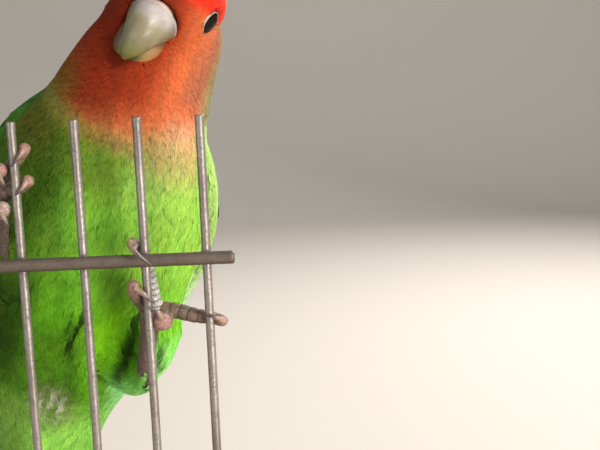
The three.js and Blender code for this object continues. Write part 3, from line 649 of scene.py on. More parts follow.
# Materials
class Shader:
    """A node material in the making."""

    def __init__(self, name, roughness=0.5, metallic=0.0, specular=0.5):
        self.material = bpy.data.materials.new(name)
        self.material.use_nodes = True
        self.tree = self.material.node_tree
        self.surface = self.tree.nodes["Principled BSDF"]
        self.set({"Roughness": roughness, "Metallic": metallic, "Specular IOR Level": specular})

    def feed(self, sockets, values):
        for key, value in values.items():
            socket = sockets[key]
            if isinstance(value, bpy.types.NodeSocket):
                self.tree.links.new(value, socket)
            else:
                socket.default_value = (*value, 1) if socket.type == "RGBA" else value

    def set(self, values):
        self.feed(self.surface.inputs, values)

    def node(self, kind, values, output=0, **settings):
        """A new node, told by one of its outputs."""
        made = self.tree.nodes.new("ShaderNode" + kind)
        for key, value in settings.items():
            setattr(made, key, value)
        self.feed(made.inputs, values)
        return made.outputs[output]

    def math(self, operation, a, b=0.0, c=0.0):
        return self.node("Math", {0: a, 1: b, 2: c}, operation=operation)

    def mix(self, share, a, b, kind="MIX"):
        return self.node("Mix", {0: share, 6: a, 7: b}, 2, data_type="RGBA", blend_type=kind)

    def ramp(self, value, low, high, a=0.0, b=1.0):
        return self.node("MapRange", {0: value, 1: low, 2: high, 3: a, 4: b})

    def place(self):
        return self.node("TexCoord", {}, "Object")

    def noise(self, scale, detail=3.0, stretch=None, roughness=0.5):
        where = self.place()
        if stretch:
            where = self.node("Mapping", {0: where, 3: stretch})
        values = {"Vector": where, "Scale": scale, "Detail": detail, "Roughness": roughness}
        return self.node("TexNoise", values)

    def bump(self, height, strength, depth):
        values = {"Height": height, "Strength": strength, "Distance": depth}
        self.set({"Normal": self.node("Bump", values)})

    def tint(self):
        return self.node("Attribute", {}, "Color", attribute_name="tint")

    def shaded(self, *shades):
        """The colours of the points, made lighter and darker by shades."""
        shade = shades[0]
        for other in shades[1:]:
            shade = self.math("MULTIPLY", shade, other)
        grey = self.node("CombineColor", {0: shade, 1: shade, 2: shade})
        self.set({"Base Color": self.mix(1.0, self.tint(), grey, "MULTIPLY")})

    def flesh(self, weight, radius):
        self.set({"Subsurface Weight": weight, "Subsurface Radius": radius, "Subsurface Scale": MM})


def plumage_material(name, barbs=26.0, roughness=0.7, sheen=0.04, strength=0.25):
    shader = Shader(name, roughness=roughness, specular=0.07)
    shader.set({"Sheen Weight": sheen, "Sheen Roughness": 0.45})
    vane = shader.node("Attribute", {}, "Vector", attribute_name="vane")
    across, run, light = shader.node("SeparateXYZ", {0: vane}).node.outputs
    slant = shader.math("MULTIPLY_ADD", shader.math("ABSOLUTE", across), -0.35, run)
    wave = shader.math("SINE", shader.math("MULTIPLY", slant, barbs * 2 * math.pi))
    wave = shader.math("MULTIPLY_ADD", wave, 0.5, 0.5)
    shader.shaded(
        shader.math("MULTIPLY_ADD", run, 0.06, 0.95),
        shader.ramp(wave, 0, 1, 0.9, 1.06),
        shader.ramp(light, 0, 1, 0.84, 1.58),
        shader.ramp(shader.noise(260.0, 4.0), 0.3, 0.7, 0.95, 1.05),
    )
    shader.bump(wave, strength, 0.00004)
    return shader.material


def skin_material():
    shader = Shader("under_plumage", roughness=0.8, specular=0.15)
    strands = shader.noise(900.0, 4.0, stretch=(1, 1, 0.25))
    shader.shaded(shader.ramp(strands, 0.3, 0.7, 0.85, 1.1))
    shader.bump(strands, 0.5, 0.0003)
    return shader.material


# The skin under the coat
def body_mesh():
    turn = circle(72)
    rings = []
    for t in np.arange(BODY[0][0], BODY[-1][0] + 0.1, BODY_RING_GAP):
        lateral, middle, wide, front, back = along(BODY, t)[0]
        depth = np.where(np.sin(turn) > 0, back, front)
        rings.append(on_bird(t, lateral + wide * np.cos(turn), middle + depth * np.sin(turn)))
    return loft(rings)


def wing_core_mesh(side):
    rings = []
    share = np.linspace(0, 1, 15)
    for t in np.linspace(WING[0][0], WING_CORE_END, 40):
        outer = wing_place(side, np.full(len(share), t), share)
        out = wing_out(side, np.full(len(share), t), share)
        taper = rise(t, -27, -22) * (1 - 0.75 * rise(t, 36, WING_CORE_END))
        inner = outer - out * max(WING_EDGE_DEPTH, WING_ROOT_DEPTH * taper)
        rings.append(np.concatenate([outer, inner[::-1]]))
    return loft(rings)


def remeshed(name, points, triangles, voxel, smooth=6):
    """One closed surface round meshes that cross, smoothed."""
    start = mesh_object(name + "_start", points, triangles, bpy.data.materials.new("plain"))
    remesh = start.modifiers.new("remesh", "REMESH")
    remesh.mode = "VOXEL"
    remesh.voxel_size = voxel * MM
    ease = start.modifiers.new("ease", "SMOOTH")
    ease.factor = 0.5
    ease.iterations = smooth
    evaluated = start.evaluated_get(bpy.context.evaluated_depsgraph_get())
    made = read_mesh(bpy.data.meshes.new_from_object(evaluated))
    bpy.data.objects.remove(start)
    return made


def coat_depth(points):
    """How far the plumage stands out from the skin."""
    t, lateral, y = bird_terms(points)
    depth = 0.5 + 0.4 * rise(t, -34, -4) - 0.25 * rise(t, 50, 74)
    wing, share = on_wing(t, lateral, y)
    depth = depth * (1 - 0.7 * wing * rise(share, 0.3, 0.1))
    from_bill = distance(points, on_head(0, 11, -7))
    return np.where(t < -30, np.minimum(depth, 0.45 + 0.05 * from_bill), depth)


# Where the plumage of each thigh ends round the shank
CUFFS = [
    [(1.6, -8.4, 84, 5.2), (3.4, -11.6, 82.4, 4), (5, -13.8, 82.2, 3.1), (6, -15.4, 84, 2.7)],
    [(-25, -8.4, 107, 5), (-25.4, -11.4, 109.2, 3.8), (-25.3, -13.4, 111, 3), (-25, -14.4, 113, 2.7)],
]
# Where each shank comes out of its cuff, and the way it goes there
CUFF_MOUTHS = [((5, -13.6, 82.3), (0.27, -0.62, 0.73)), ((-25.35, -12.6, 110.4), (0.04, -0.66, 0.75))]
CUFF_FRINGE = 2.6


def by_mouth(points):
    """How near points are to the mouth of each cuff, 0 to 1."""
    return [rise(distance(points, place), 5.5, 3.5) for place, _ in CUFF_MOUTHS]


def at_mouth(points):
    return np.max(by_mouth(points), axis=0) > 0.5


def make_skin():
    parts = [body_mesh()] + [node_mesh(n) for n in ("head", "thigh_left", "thigh_right")]
    parts += [wing_core_mesh(side) for side in (1, -1)]
    parts += [tube(stops) for stops in CUFFS]
    points, triangles, normals = remeshed("skin", *joined(parts), voxel=0.7)
    points = points - normals * (coat_depth(points) + 0.4 * parted(*bird_terms(points)))[:, None]
    skin = mesh_object("skin", points, triangles, skin_material(), plumage(points))
    bpy.context.view_layer.objects.active = skin
    skin.select_set(True)
    bpy.ops.object.mode_set(mode="EDIT")
    bpy.ops.mesh.select_all(action="SELECT")
    bpy.ops.uv.smart_project(angle_limit=math.radians(66), island_margin=0.002)
    bpy.ops.object.mode_set(mode="OBJECT")
    skin.data.uv_layers[0].name = "OFBake"
    skin.select_set(False)
    return dressed(skin, ("head", "neck", "torso", "thigh_left", "thigh_right"))


class Surface:
    """The skin as the coat sees it: where it is, which way it faces, and its unwrap."""

    def __init__(self, skin):
        points, triangles, normals = read_mesh(skin.data)
        corners = np.empty(len(skin.data.loops) * 2)
        skin.data.uv_layers["OFBake"].data.foreach_get("uv", corners)
        self.uv = corners.reshape(-1, 3, 2).mean(1)
        self.corners = points[triangles]
        self.tree = BVHTree.FromPolygons(points.tolist(), triangles.tolist())
        self.normals = unit(normals[triangles].mean(1))

    def nearest(self, places):
        found = [self.tree.find_nearest(Vector(p)) for p in places]
        return np.array([f[0] for f in found]), self.normals[[f[2] for f in found]]

    def scatter(self, spacing, keep):
        """Places spread evenly over the skin, a spacing apart that depends on the place."""
        edges = self.corners[:, 1:] - self.corners[:, :1]
        area = length_of(np.cross(edges[:, 0], edges[:, 1])) / 2
        middle = self.corners.mean(1)
        gap = spacing(middle)
        weight = area / gap**2 * keep(middle, self.normals)
        count = int(weight.sum() * 5)
        face = rng.choice(len(area), count, p=weight / weight.sum())
        a, b = rng.random(count), rng.random(count)
        over = a + b > 1
        a[over], b[over] = 1 - a[over], 1 - b[over]
        places = self.corners[face, 0] + a[:, None] * edges[face, 0] + b[:, None] * edges[face, 1]
        tree = point_tree(places)
        alive = np.ones(count, bool)
        chosen = []
        for i in range(count):
            if alive[i]:
                chosen.append(i)
                for _, j, _ in tree.find_range(places[i], gap[face[i]]):
                    alive[j] = False
        face = face[chosen]
        return places[chosen], self.normals[face], self.uv[face]


# How far from the bill the feathers turn to lie down the body
DOWN_BODY = (16, 44)
# Where each thigh starts and ends, and its radius
THIGHS = [((-4, 6, 94.6), (2.8, -11, 82.2), 13), ((-16, 7, 99), (-25.4, -11, 108.6), 11)]


def lie(points, normals):
    """The way the feathers point: away from the bill, then down the body and the thighs."""
    t, _, _ = bird_terms(points)
    away = points - on_head(0, 9, -6)
    way = blend(unit(away), spine_way(t), rise(length_of(away), *DOWN_BODY))
    for start, end, size in THIGHS:
        start, end = np.array(start, float), np.array(end, float)
        axis = unit(end - start)
        run = (points - start) @ axis
        off = length_of(points - start - run[:, None] * axis)
        reach = length_of(end - start)
        radius = size * (1 - 0.5 * np.clip(run / reach, 0, 1))
        near = rise(run, 0.25 * reach, 0.7 * reach) * rise(off, radius + 3, radius)
        way = blend(way, axis, near)
    for near, (_, axis) in zip(by_mouth(points), CUFF_MOUTHS):
        way = blend(way, np.array(axis), near)
    # They part round each eye
    for ring in EYE_RINGS:
        off = ring - points
        far = length_of(off)
        towards = np.maximum(0, dot(way, off) / far)
        turned = towards * rise(far, EYE_OPENING + 3, EYE_OPENING + 0.6)
        way = way - off / far[:, None] * turned[:, None]
    return unit(way - normals * dot(way, normals)[:, None])


# Small feathers: a vane with a fringe of loose barbs. Rows of the vane: share of its length, width
VANE_ROWS = [(0, 0.35), (0.3, 0.9), (0.62, 0.95), (0.86, 0.5)]
VANE_END = 0.84
VANE_LIGHT = 0.42
BLADES = 14
LONG_BLADES = 3
TEMPLATES = 8
STEPS = 5
FREE_REACH = 0.4
# Where feathers hang free of the body, under the tail
HANGING_T, HANGING_Y = 40, 3
# How much feathers differ: way, height, lightness, hue, and where along them their colour is read
TURN_SPREAD, LIFT_SPREAD, LIGHT_SPREAD, HUE_SPREAD, SHIFT_SPREAD = 0.12, 0.03, 0.03, 0.018, 0.1
PATCH = 0.003
SOFTNESS = 0.6


def sheet_faces(rows, columns, flip=False):
    i, j = np.meshgrid(np.arange(rows - 1), np.arange(columns - 1), indexing="ij")
    a = (i * columns + j).ravel()
    b, c, d = a + 1, a + columns + 1, a + columns
    faces = np.concatenate([np.stack([a, b, c], 1), np.stack([a, c, d], 1)])
    return faces[:, ::-1] if flip else faces


def blade(start, end, wide, light):
    """A loose barb: a thin three sided spindle from start to end, each a place along and across."""
    share = rng.uniform(0.4, 0.6)
    k = start[0] + (end[0] - start[0]) * share
    a = start[1] + (end[1] - start[1]) * share**0.8
    spots = [(*start, 0.03, light), (k, a - wide, 0.05, light), (k, a, 0.16, light),
             (k, a + wide, 0.05, light), (*end, 0.02, light)]
    return spots, [[0, 2, 1], [0, 3, 2], [0, 1, 3], [1, 2, 4], [2, 3, 4], [3, 1, 4]]


def feather_template():
    """k along, across, lift and lightness of each point of a small feather, and its triangles."""
    top, under = [], []
    for k, wide in VANE_ROWS:
        left, right = wide * rng.uniform(0.85, 1.05, 2)
        edges = [(k * VANE_END, -left, 0, VANE_LIGHT), (k * VANE_END, right, 0, VANE_LIGHT)]
        top += [edges[0], (k * VANE_END, 0, 0.05, VANE_LIGHT), edges[1]]
        under += edges
    parts = []
    for spots, columns, flip in ((top, 3, False), (under, 2, True)):
        end = len(spots)
        last = end - columns
        fan = [(last + i + flip, last + i + (not flip), end) for i in range(columns - 1)]
        faces = np.concatenate([sheet_faces(len(VANE_ROWS), columns, flip), fan])
        parts.append((spots + [(VANE_END, 0, 0, VANE_LIGHT)], faces))
    for n in range(BLADES):
        side = (n + 0.5) / BLADES * 2 - 1
        start = (rng.uniform(0.3, 0.7), side * 0.55 + rng.uniform(-0.14, 0.14))
        reach = 1.16 - 0.3 * side * side + rng.uniform(-0.3, 0.08)
        end = (reach, side * 0.95 + rng.uniform(-0.16, 0.16))
        light = np.clip(rng.normal(0.4, 0.12), 0, 1)
        parts.append(blade(start, end, rng.uniform(0.055, 0.105), light))
    for n in range(LONG_BLADES):
        side = rng.uniform(-0.8, 0.8)
        end = (rng.uniform(1.16, 1.38), side + rng.uniform(-0.2, 0.2))
        start = (rng.uniform(0.5, 0.75), side * 0.7)
        parts.append(blade(start, end, rng.uniform(0.04, 0.06), rng.uniform(0.85, 1.0)))
    spots, faces = joined(parts)
    return spots, faces[:, ::-1]


def traced(surface, roots, normals, length):
    """The paths of feathers over the skin in equal steps, and the ways out along them."""
    turn = rng.normal(0, TURN_SPREAD, len(roots))[:, None]
    t, _, y = bird_terms(roots)
    hanging = (t > HANGING_T) & (y < HANGING_Y) | at_mouth(roots)
    path, outs = [roots], [normals]
    for _ in range(STEPS):
        place, out = path[-1], outs[-1]
        way = lie(place, out)
        way = unit(way + np.cross(out, way) * turn)
        ahead = place + way * (length / STEPS)[:, None]
        found, facing = surface.nearest(ahead)
        # Past the end of what it grows on a feather runs on straight
        loose = ((distance(found, ahead) > FREE_REACH * length / STEPS) & hanging)[:, None]
        path.append(np.where(loose, ahead, found))
        outs.append(np.where(loose, out, facing))
    path, outs = np.stack(path, 1), np.stack(outs, 1)
    for _ in range(2):
        outs[:, 1:-1] = unit(outs[:, :-2] + 2 * outs[:, 1:-1] + outs[:, 2:])
    return path, outs


def read_steps(values, at):
    """Each feather's values at places along its path, which are counted in steps."""
    first = np.clip(np.floor(at).astype(int), 0, STEPS - 1)
    line = np.arange(len(values))[:, None]
    return blend(values[line, first], values[line, first + 1], at - first)


def grow(surface, seeds, templates):
    """Feathers over the skin: points, triangles, vane, colours, ways out and whose they are."""
    path, outs = traced(surface, seeds["root"], seeds["normal"], seeds["length"])
    n = len(path)
    sides = unit(np.cross(outs, unit(np.gradient(path, axis=1))))
    flat = path.reshape(-1, 3)
    colours = plumage(flat).reshape(path.shape)
    depth = coat_depth(flat) * (1 - 0.3 * parted(*bird_terms(flat)))
    depth = depth.reshape(n, -1, 1) * seeds["raised"][:, None, None]
    colours *= rng.normal(1, LIGHT_SPREAD, (n, 1, 1)) * rng.normal(1, HUE_SPREAD, (n, 1, 3))
    choice = rng.integers(0, len(templates), n)
    lift = rng.normal(0, LIFT_SPREAD, n)[:, None]
    shift = rng.normal(0, SHIFT_SPREAD, n)[:, None]
    parts = []
    for index, (spots, faces) in enumerate(templates):
        mine = np.nonzero(choice == index)[0]
        k, a, up, light = spots.T
        at = np.broadcast_to(k * STEPS, (len(mine), len(k)))
        half = seeds["width"][mine][:, None]
        out = unit(read_steps(outs[mine], at))
        side = unit(read_steps(sides[mine], at))
        height = read_steps(depth[mine], at)[..., 0] * (1 - 0.92 * (1 - np.clip(k, 0, 1)) ** 3)
        height = height + lift[mine] * k + up * np.minimum(half, 1.2) * 0.6 - 0.06 * half * a * a
        points = read_steps(path[mine], at) + side * (a * half)[..., None] + out * height[..., None]
        triangles = faces + (np.arange(len(mine)) * len(k))[:, None, None]
        vane = np.broadcast_to(np.stack([a, np.clip(k, 0, 1.15), light], 1), points.shape)
        shade = read_steps(colours[mine], np.clip(k + shift[mine], 0, 0.999) * STEPS)
        rows = [row.reshape(-1, 3) for row in (points, triangles, vane, shade, out)]
        parts.append(rows + [np.repeat(mine, len(k))])
    return joined(parts)


def coat_piece(name, slot, material, surface, seeds, templates):
    points, faces, vane, colours, out, owner = grow(surface, seeds, templates)
    spots = seeds["uv"][owner] + PATCH * np.stack([vane[:, 0] / 2, vane[:, 1] - 0.5], 1)
    made = piece(name, slot, (), points, faces, material, colours, spots, vane)
    # Fine barbs scatter light softly, so that a feather shades more as the body under it does
    soft = unit(read_mesh(made.data)[2] * (1 - SOFTNESS) + out * SOFTNESS)
    made.data.normals_split_custom_set_from_vertices(soft.tolist())


def feather_spacing(points):
    t, _, y = bird_terms(points)
    from_bill = distance(points, on_head(0, 12, -7))
    gap = 0.48 + 0.2 * rise(from_bill, 5, 26) + 0.3 * rise(t, -30, -2)
    return gap + 0.2 * rise(y, 6, 18) * rise(t, -30, -10)


# The folded wing's bend is covered by small feathers
WING_BEND_SHARE = 0.3
WING_BEND_END = 14
HIDING_NODES = ("wing_left", "wing_right")
HIDING_REACH = 7
BARE_NODES = ("cere", "bill_upper", "bill_lower", "shank_left", "shank_right")
BARE_REACH = 0.2
# Sizes of small feathers, in gaps between them
LENGTH_HEAD, LENGTH_BODY = 4.4, 6.2
FEATHER_WIDTH = 1.15
FRINGE_WIDTH = 0.7
# Pieces of the coat: slot, t from and to, and the side of the bird
COAT_PIECES = {
    "coat_crown": ("plumage_face", -99, -37, "crown"),
    "coat_face": ("plumage_face", -99, -37, "face"),
    "coat_nape": ("plumage_face", -99, -37, "nape"),
    "coat_throat": ("plumage_bib", -37, -17, "front"),
    "coat_neck": ("plumage_bib", -37, -17, "behind"),
    "coat_breast": ("plumage_green", -17, 10, "front"),
    "coat_back": ("plumage_green", -17, 24, "behind"),
    "coat_belly": ("plumage_green", 10, 36, "front"),
    "coat_rump": ("plumage_green", 24, 199, "behind"),
    "coat_vent": ("plumage_green", 36, 199, "front"),
}


def node_tree(names):
    points, triangles = joined([node_mesh(n) for n in names])
    return BVHTree.FromPolygons(points.tolist(), triangles.tolist())


def short_of_eyes(roots, normals, length):
    """Feathers that point at an eye end at its ring."""
    way = lie(roots, normals)
    for ring in EYE_RINGS:
        off = ring - roots
        far = length_of(off)
        room = np.maximum(far - EYE_OPENING, 0.5)
        length = np.where(dot(way, off) / far > 0.1, np.minimum(length, room), length)
    return length


def keep_feathers(points, normals):
    """1 where small feathers grow, and 0 under the wings, at the eyes and on bare skin."""
    bare, wings = node_tree(BARE_NODES), node_tree(HIDING_NODES)
    kept = np.ones(len(points))
    t, lateral, y = bird_terms(points)
    wing, share = on_wing(t, lateral, y)
    bend = (wing > 0.5) & (share < WING_BEND_SHARE) & (t < WING_BEND_END)
    for i in np.nonzero((t > 4) & ~bend)[0]:
        if wings.ray_cast(Vector(points[i]), Vector(normals[i]), HIDING_REACH)[0] is not None:
            kept[i] = 0
    for ring in EYE_RINGS:
        kept[distance(points, ring) < EYE_OPENING + 0.25] = 0
    kept[[bare.find_nearest(Vector(p), BARE_REACH)[0] is not None for p in points]] = 0
    return kept


def make_coat(skin):
    surface = Surface(skin)
    roots, normals, uv = surface.scatter(feather_spacing, keep_feathers)
    t, _, y = bird_terms(roots)
    up = head_terms(roots)[2]
    gap = feather_spacing(roots)
    fringe = at_mouth(roots)
    length = gap * (LENGTH_HEAD + (LENGTH_BODY - LENGTH_HEAD) * rise(t, -30, 10))
    length = short_of_eyes(roots, normals, length * rng.normal(1, 0.1, len(roots)))
    seeds = {
        "root": roots,
        "normal": normals,
        "uv": uv,
        "length": np.where(fringe, np.minimum(length, CUFF_FRINGE), length),
        "width": gap * rng.normal(FEATHER_WIDTH, 0.08, len(roots)) * np.where(fringe, FRINGE_WIDTH, 1),
        "raised": rng.normal(1.0, 0.03, len(roots)),
    }
    templates = [feather_template() for _ in range(TEMPLATES)]
    material = plumage_material("plumage")
    sides = {
        "crown": (y < 6) & (up >= 0),
        "face": (y < 6) & (up < 0),
        "nape": y >= 6,
        "front": y < 7,
        "behind": y >= 7,
    }
    for name, (slot, start, end, side) in COAT_PIECES.items():
        mask = (t >= start) & (t < end) & sides[side]
        chosen = {key: values[mask] for key, values in seeds.items()}
        coat_piece(name, slot, material, surface, chosen, templates)


# Large feathers of the wings and the tail
FEATHER_ACROSS = np.array([-1, -0.78, -0.52, -0.26, -0.07, 0, 0.07, 0.26, 0.52, 0.78, 1])
RACHIS = 5
BLADE_SHAPE = [(0, 0.35), (0.12, 0.7), (0.35, 0.95), (0.7, 1), (0.88, 0.86), (0.96, 0.58), (1, 0.2)]
RAGGEDNESS = 0.05
NOTCH_SHARE = 0.06
NOTCH_DEPTH = 0.16
FLIGHT_FINISH = {"barbs": 70, "roughness": 0.5, "sheen": 0.1, "strength": 0.3}


class Feathers:
    """Large feathers gathered into one mesh, each with its own strip of the texture."""

    def __init__(self, count):
        self.strip = 1 / count
        self.sheets = []

    def add(self, middle, out, lead, half, lift, tilt, colour_at, camber=0.25):
        """A feather along middle; lead points to the web that lies outside, half is its width."""
        rows, columns = len(middle), len(FEATHER_ACROSS)
        k = np.linspace(0, 1, rows)[:, None]
        a = FEATHER_ACROSS[None, :]
        way = unit(np.gradient(middle, axis=0))
        side = unit(np.cross(out, way))
        if dot(side, lead).sum() < 0:
            side = -side
        ragged = rng.normal(0, RAGGEDNESS, (rows, 2))
        ragged = np.where(rng.random((rows, 2)) < NOTCH_SHARE, ragged - NOTCH_DEPTH, ragged)
        edge = np.where(a < 0, ragged[:, :1], ragged[:, 1:]) * a * a
        wide = half * along(BLADE_SHAPE, k[:, 0]) * (1 + edge)
        up = lift[:, None] + tilt * a - camber * a * a
        top_up, under_up = up.copy(), up - (0.05 + 0.16 * (1 - 0.6 * k)) * (1 - a * a)
        top_up[:, RACHIS] += 0.14 * (1 - 0.7 * k[:, 0])
        under_up[:, [0, -1]] = top_up[:, [0, -1]]
        flat = middle[:, None] + side[:, None] * (a * wide)[..., None]
        full_k, full_a = np.broadcast_arrays(k, a)
        speckles = 1 + 0.06 * np.sin(31 * full_k + 5 * full_a) * np.sin(17 * full_k - 3)
        colour = colour_at(full_k, full_a) * speckles[..., None]
        vane = np.stack([full_a, full_k, 0.5 + 0 * up], -1)
        flip = np.dot(np.cross(side[0], way[0]), out[0]) < 0
        start = len(self.sheets) // 2 * self.strip
        for lifted, turned, shift, dim in ((top_up, flip, 0.0, 1.0), (under_up, not flip, 0.48, 0.75)):
            points = flat + out[:, None] * lifted[..., None]
            across = start + self.strip * (shift + 0.22 + 0.2 * full_a)
            uv = np.stack([across, 0.01 + 0.98 * full_k], -1)
            self.sheets.append((points.reshape(-1, 3), sheet_faces(rows, columns, turned),
                                colour.reshape(-1, 3) * dim, uv.reshape(-1, 2), vane.reshape(-1, 3)))

    def finish(self, name, slot, node):
        points, faces, *attributes = joined(self.sheets)
        material = plumage_material(name, **FLIGHT_FINISH)
        piece(name, slot, [node], points, faces, material, *attributes)


# Colours at k along a feather and a across it
def primary_colour(order, k, a):
    green = rise(a, -0.05, 0.35) * (1 - 0.85 * rise(k, 0.45, 0.8)) * (0.55 + 0.45 * order)
    rim = rise(a, 0.7, 1) * (1 - rise(k, 0.5, 0.85))
    return layered(FLIGHT_DARK, (FLIGHT_GREEN, green), (WING_EDGE, 0.5 * rim))


def secondary_colour(order, k, a):
    green = np.maximum(rise(a, -0.45, 0.1), rise(order, 0.55, 0.9))
    return layered(FLIGHT_DARK, (WING_GREEN, green), (WING_EDGE, 0.25 * rise(abs(a), 0.75, 1)))


def covert_colour(pale, k, a):
    rim = np.maximum(rise(abs(a), 0.6, 1), rise(k, 0.86, 1))
    return blend(WING_GREEN * 0.92, WING_EDGE, 0.18 * rim + pale)


def tail_colour(pair, k, a):
    red = rise(k, 0.3, 0.42) * rise(k, 0.74, 0.66) * (0.35 + 0.65 * rise(a, 0.45, -0.1))
    banded = float(pair > 0)
    return layered(
        TAIL_GREEN,
        (TAIL_BLUE, rise(k, 0.84, 0.96)),
        (TAIL_RED, banded * red * min(1, 0.5 + 0.2 * pair)),
        (TAIL_BLACK, banded * rise(k, 0.68, 0.74) * rise(k, 0.86, 0.8)),
    )


def laid_on_wing(side, root, tip, rows):
    """The middle line of a feather on the wing, the way out, and the way to the leading edge."""
    k = np.linspace(0, 1, rows)
    t = root[0] + (tip[0] - root[0]) * k
    share = root[1] + (tip[1] - root[1]) * k
    here = wing_place(side, t, share)
    lead = wing_place(side, t, share - 0.05) - here
    return here, wing_out(side, t, share), unit(lead)


PRIMARY_COUNT = 9
SECONDARY_COUNT = 9
PRIMARY_ROWS, SECONDARY_ROWS, COVERT_ROWS, TAIL_ROWS = 30, 24, 14, 30
# tiers of coverts: how many, t of the roots, t of the tips, half width, share nearest the lead
COVERT_TIERS = [
    (11, 0, 20, 3.2, 0.2),
    (10, -9, 8, 3.0, 0.22),
    (10, -17, -2, 2.8, 0.24),
]
COVERT_LAST_SHARE = 0.94
TAIL_PAIRS = 6
TAIL_ROOT_T, TAIL_TIP_T = 57, 109


def make_wing(side, name):
    feathers = Feathers(PRIMARY_COUNT + SECONDARY_COUNT + sum(tier[0] for tier in COVERT_TIERS))
    for f in np.arange(PRIMARY_COUNT) / (PRIMARY_COUNT - 1):
        tip = (88.5 - 31 * f, 0.42 + 0.3 * f)
        line = laid_on_wing(side, (34, 0.08 + 0.44 * f), tip, PRIMARY_ROWS)
        lift = np.linspace(-1.5 + 0.9 * f, -1.6 + 1.9 * f, PRIMARY_ROWS)
        feathers.add(*line, 3.2, lift, 0.22, partial(primary_colour, f))
    for f in np.arange(SECONDARY_COUNT) / (SECONDARY_COUNT - 1):
        tip = (59 - 13 * f + rng.normal(0, 0.4), 0.15 + 0.76 * f)
        line = laid_on_wing(side, (10, 0.1 + 0.78 * f), tip, SECONDARY_ROWS)
        lift = np.linspace(-0.6, 0.35 + 0.3 * f, SECONDARY_ROWS)
        feathers.add(*line, 3.4, lift, 0.25, partial(secondary_colour, f))
    for row, (amount, root, tip, half, first) in enumerate(COVERT_TIERS):
        lift = np.linspace(-0.7, 0.45 + 0.12 * row, COVERT_ROWS)
        for i in range(amount):
            share = first + (COVERT_LAST_SHARE - first) * i / (amount - 1)
            end = (tip + rng.normal(0, 0.8), share + rng.normal(0.02, 0.01))
            line = laid_on_wing(side, (root, share), end, COVERT_ROWS)
            # Coverts near the lead are lighter, and on the left wing much more, as painted light
            pale = (0.4 if side > 0 else 0.05) * rise(share, 0.3, 0.2)
            feathers.add(*line, half, lift, 0.2, partial(covert_colour, pale), camber=0.35)
    feathers.finish(name + "_feathers", "plumage_wing", name)


def make_tail():
    feathers = Feathers(2 * TAIL_PAIRS)
    k = np.linspace(0, 1, TAIL_ROWS)
    for pair in range(TAIL_PAIRS):
        for side in (-1, 1):
            t = TAIL_ROOT_T + (TAIL_TIP_T - 0.9 * pair**1.55 - TAIL_ROOT_T) * k
            lateral = 1 + 0.75 * pair + (0.5 + 0.67 * pair) * k
            y = TAIL_BACK_Y - 0.45 * pair - 0.03 * (t - 60) + (0.05 if side > 0 else 0)
            middle = on_bird(t, side * lateral, y)
            out = np.broadcast_to([0.0, 1.0, 0.0], middle.shape)
            lead = np.broadcast_to([float(side), 0.0, 0.0], middle.shape)
            colour_at = partial(tail_colour, pair)
            feathers.add(middle, out, lead, 3.9, 0 * k, 0.0, colour_at, camber=0.2)
    feathers.finish("tail_feathers", "plumage_tail", "tail")


# Bill, cere and eyes
def upper_bill_rings(start, end, risen, count):
    turn = circle(44)
    rings = []
    for angle in np.linspace(start, end, count):
        inner, outer, wide = along(BILL_UPPER, angle)[0]
        reach = (inner + outer) / 2 + ((outer - inner) / 2 + risen) * np.cos(turn)
        left = (wide + risen) * np.sin(turn) * (1 - 0.22 * np.cos(turn))
        front, up = BILL_PIVOT
        a = math.radians(angle)
        rings.append(on_head(left, front + reach * math.cos(a), up + reach * math.sin(a)))
    return rings


def with_cap(rings, share=0.5, count=4):
    """Rounds off the end of a run of rings by a few smaller ones."""
    middle = rings[-1].mean(0)
    spread = rings[-1] - middle
    step = unit(middle - rings[-2].mean(0)) * length_of(spread).max() * share
    angles = [math.pi / 2 * i / (count + 0.5) for i in range(1, count + 1)]
    return rings + [middle + step * math.sin(a) + spread * math.cos(a) for a in angles]


def lower_bill_rings():
    turn = circle(40)
    rings = []
    for up in np.linspace(BILL_LOWER[0][0], BILL_LOWER[-1][0], 22):
        reach, wide = along(BILL_LOWER, up)[0]
        middle, half = (reach + BILL_LOWER_BACK) / 2, (reach - BILL_LOWER_BACK) / 2
        left = LOWER_SHIFT + (wide - LOWER_NARROWER) * np.cos(turn)
        rings.append(on_head(left, middle + half * np.sin(turn), up))
    return rings


def horn_material(name, roughness):
    shader = Shader(name, roughness=roughness, specular=0.5)
    layers = shader.noise(420.0, 5.0, stretch=(1, 1, 2.6))
    cloud = shader.noise(140.0, 3.0)
    shader.shaded(shader.ramp(layers, 0.3, 0.7, 0.86, 1.06), shader.ramp(cloud, 0.3, 0.7, 0.9, 1.08))
    shader.set({
        "Roughness": shader.ramp(layers, 0.3, 0.7, roughness - 0.08, roughness + 0.12),
        "Coat Weight": 0.12,
        "Coat Roughness": 0.35,
    })
    shader.flesh(0.12, (0.9, 0.6, 0.4))
    shader.bump(layers, 0.25, 0.0001)
    return shader.material


def make_upper_bill(material):
    points, triangles = loft(with_cap(upper_bill_rings(CERE_FROM - 1.8, BILL_UPPER[-1][0], 0, 56)))
    left, front, up = head_terms(points)
    ahead, above = front - BILL_PIVOT[0], up - BILL_PIVOT[1]
    angle = np.degrees(np.arctan2(above, ahead))
    inner, outer, _ = along(BILL_UPPER, angle).T
    # The cutting edge along the mouth line, for its painted shade
    edge = rise((np.hypot(ahead, above) - inner) / (outer - inner), 0.24, 0.1)
    colour = layered(
        HORN,
        (HORN_ROOT, rise(up, -8, -3)),
        (HORN_TIP, 0.8 * rise(up, -10, -15)),
        # Painted shade on the bill's sides, on its inner edge and along the mouth line
        (HORN_IN_SHADE, 0.6 * rise(abs(left), 3.4, 5.4)),
        (HORN_IN_SHADE, 0.5 * rise(front, 11.5, 10)),
        (MOUTH_LINE_SHADE, 0.85 * edge * rise(angle, 40, 15)),
    )
    piece("upper_bill", "bill_horn", ["bill_upper"], points, triangles, material, colour)


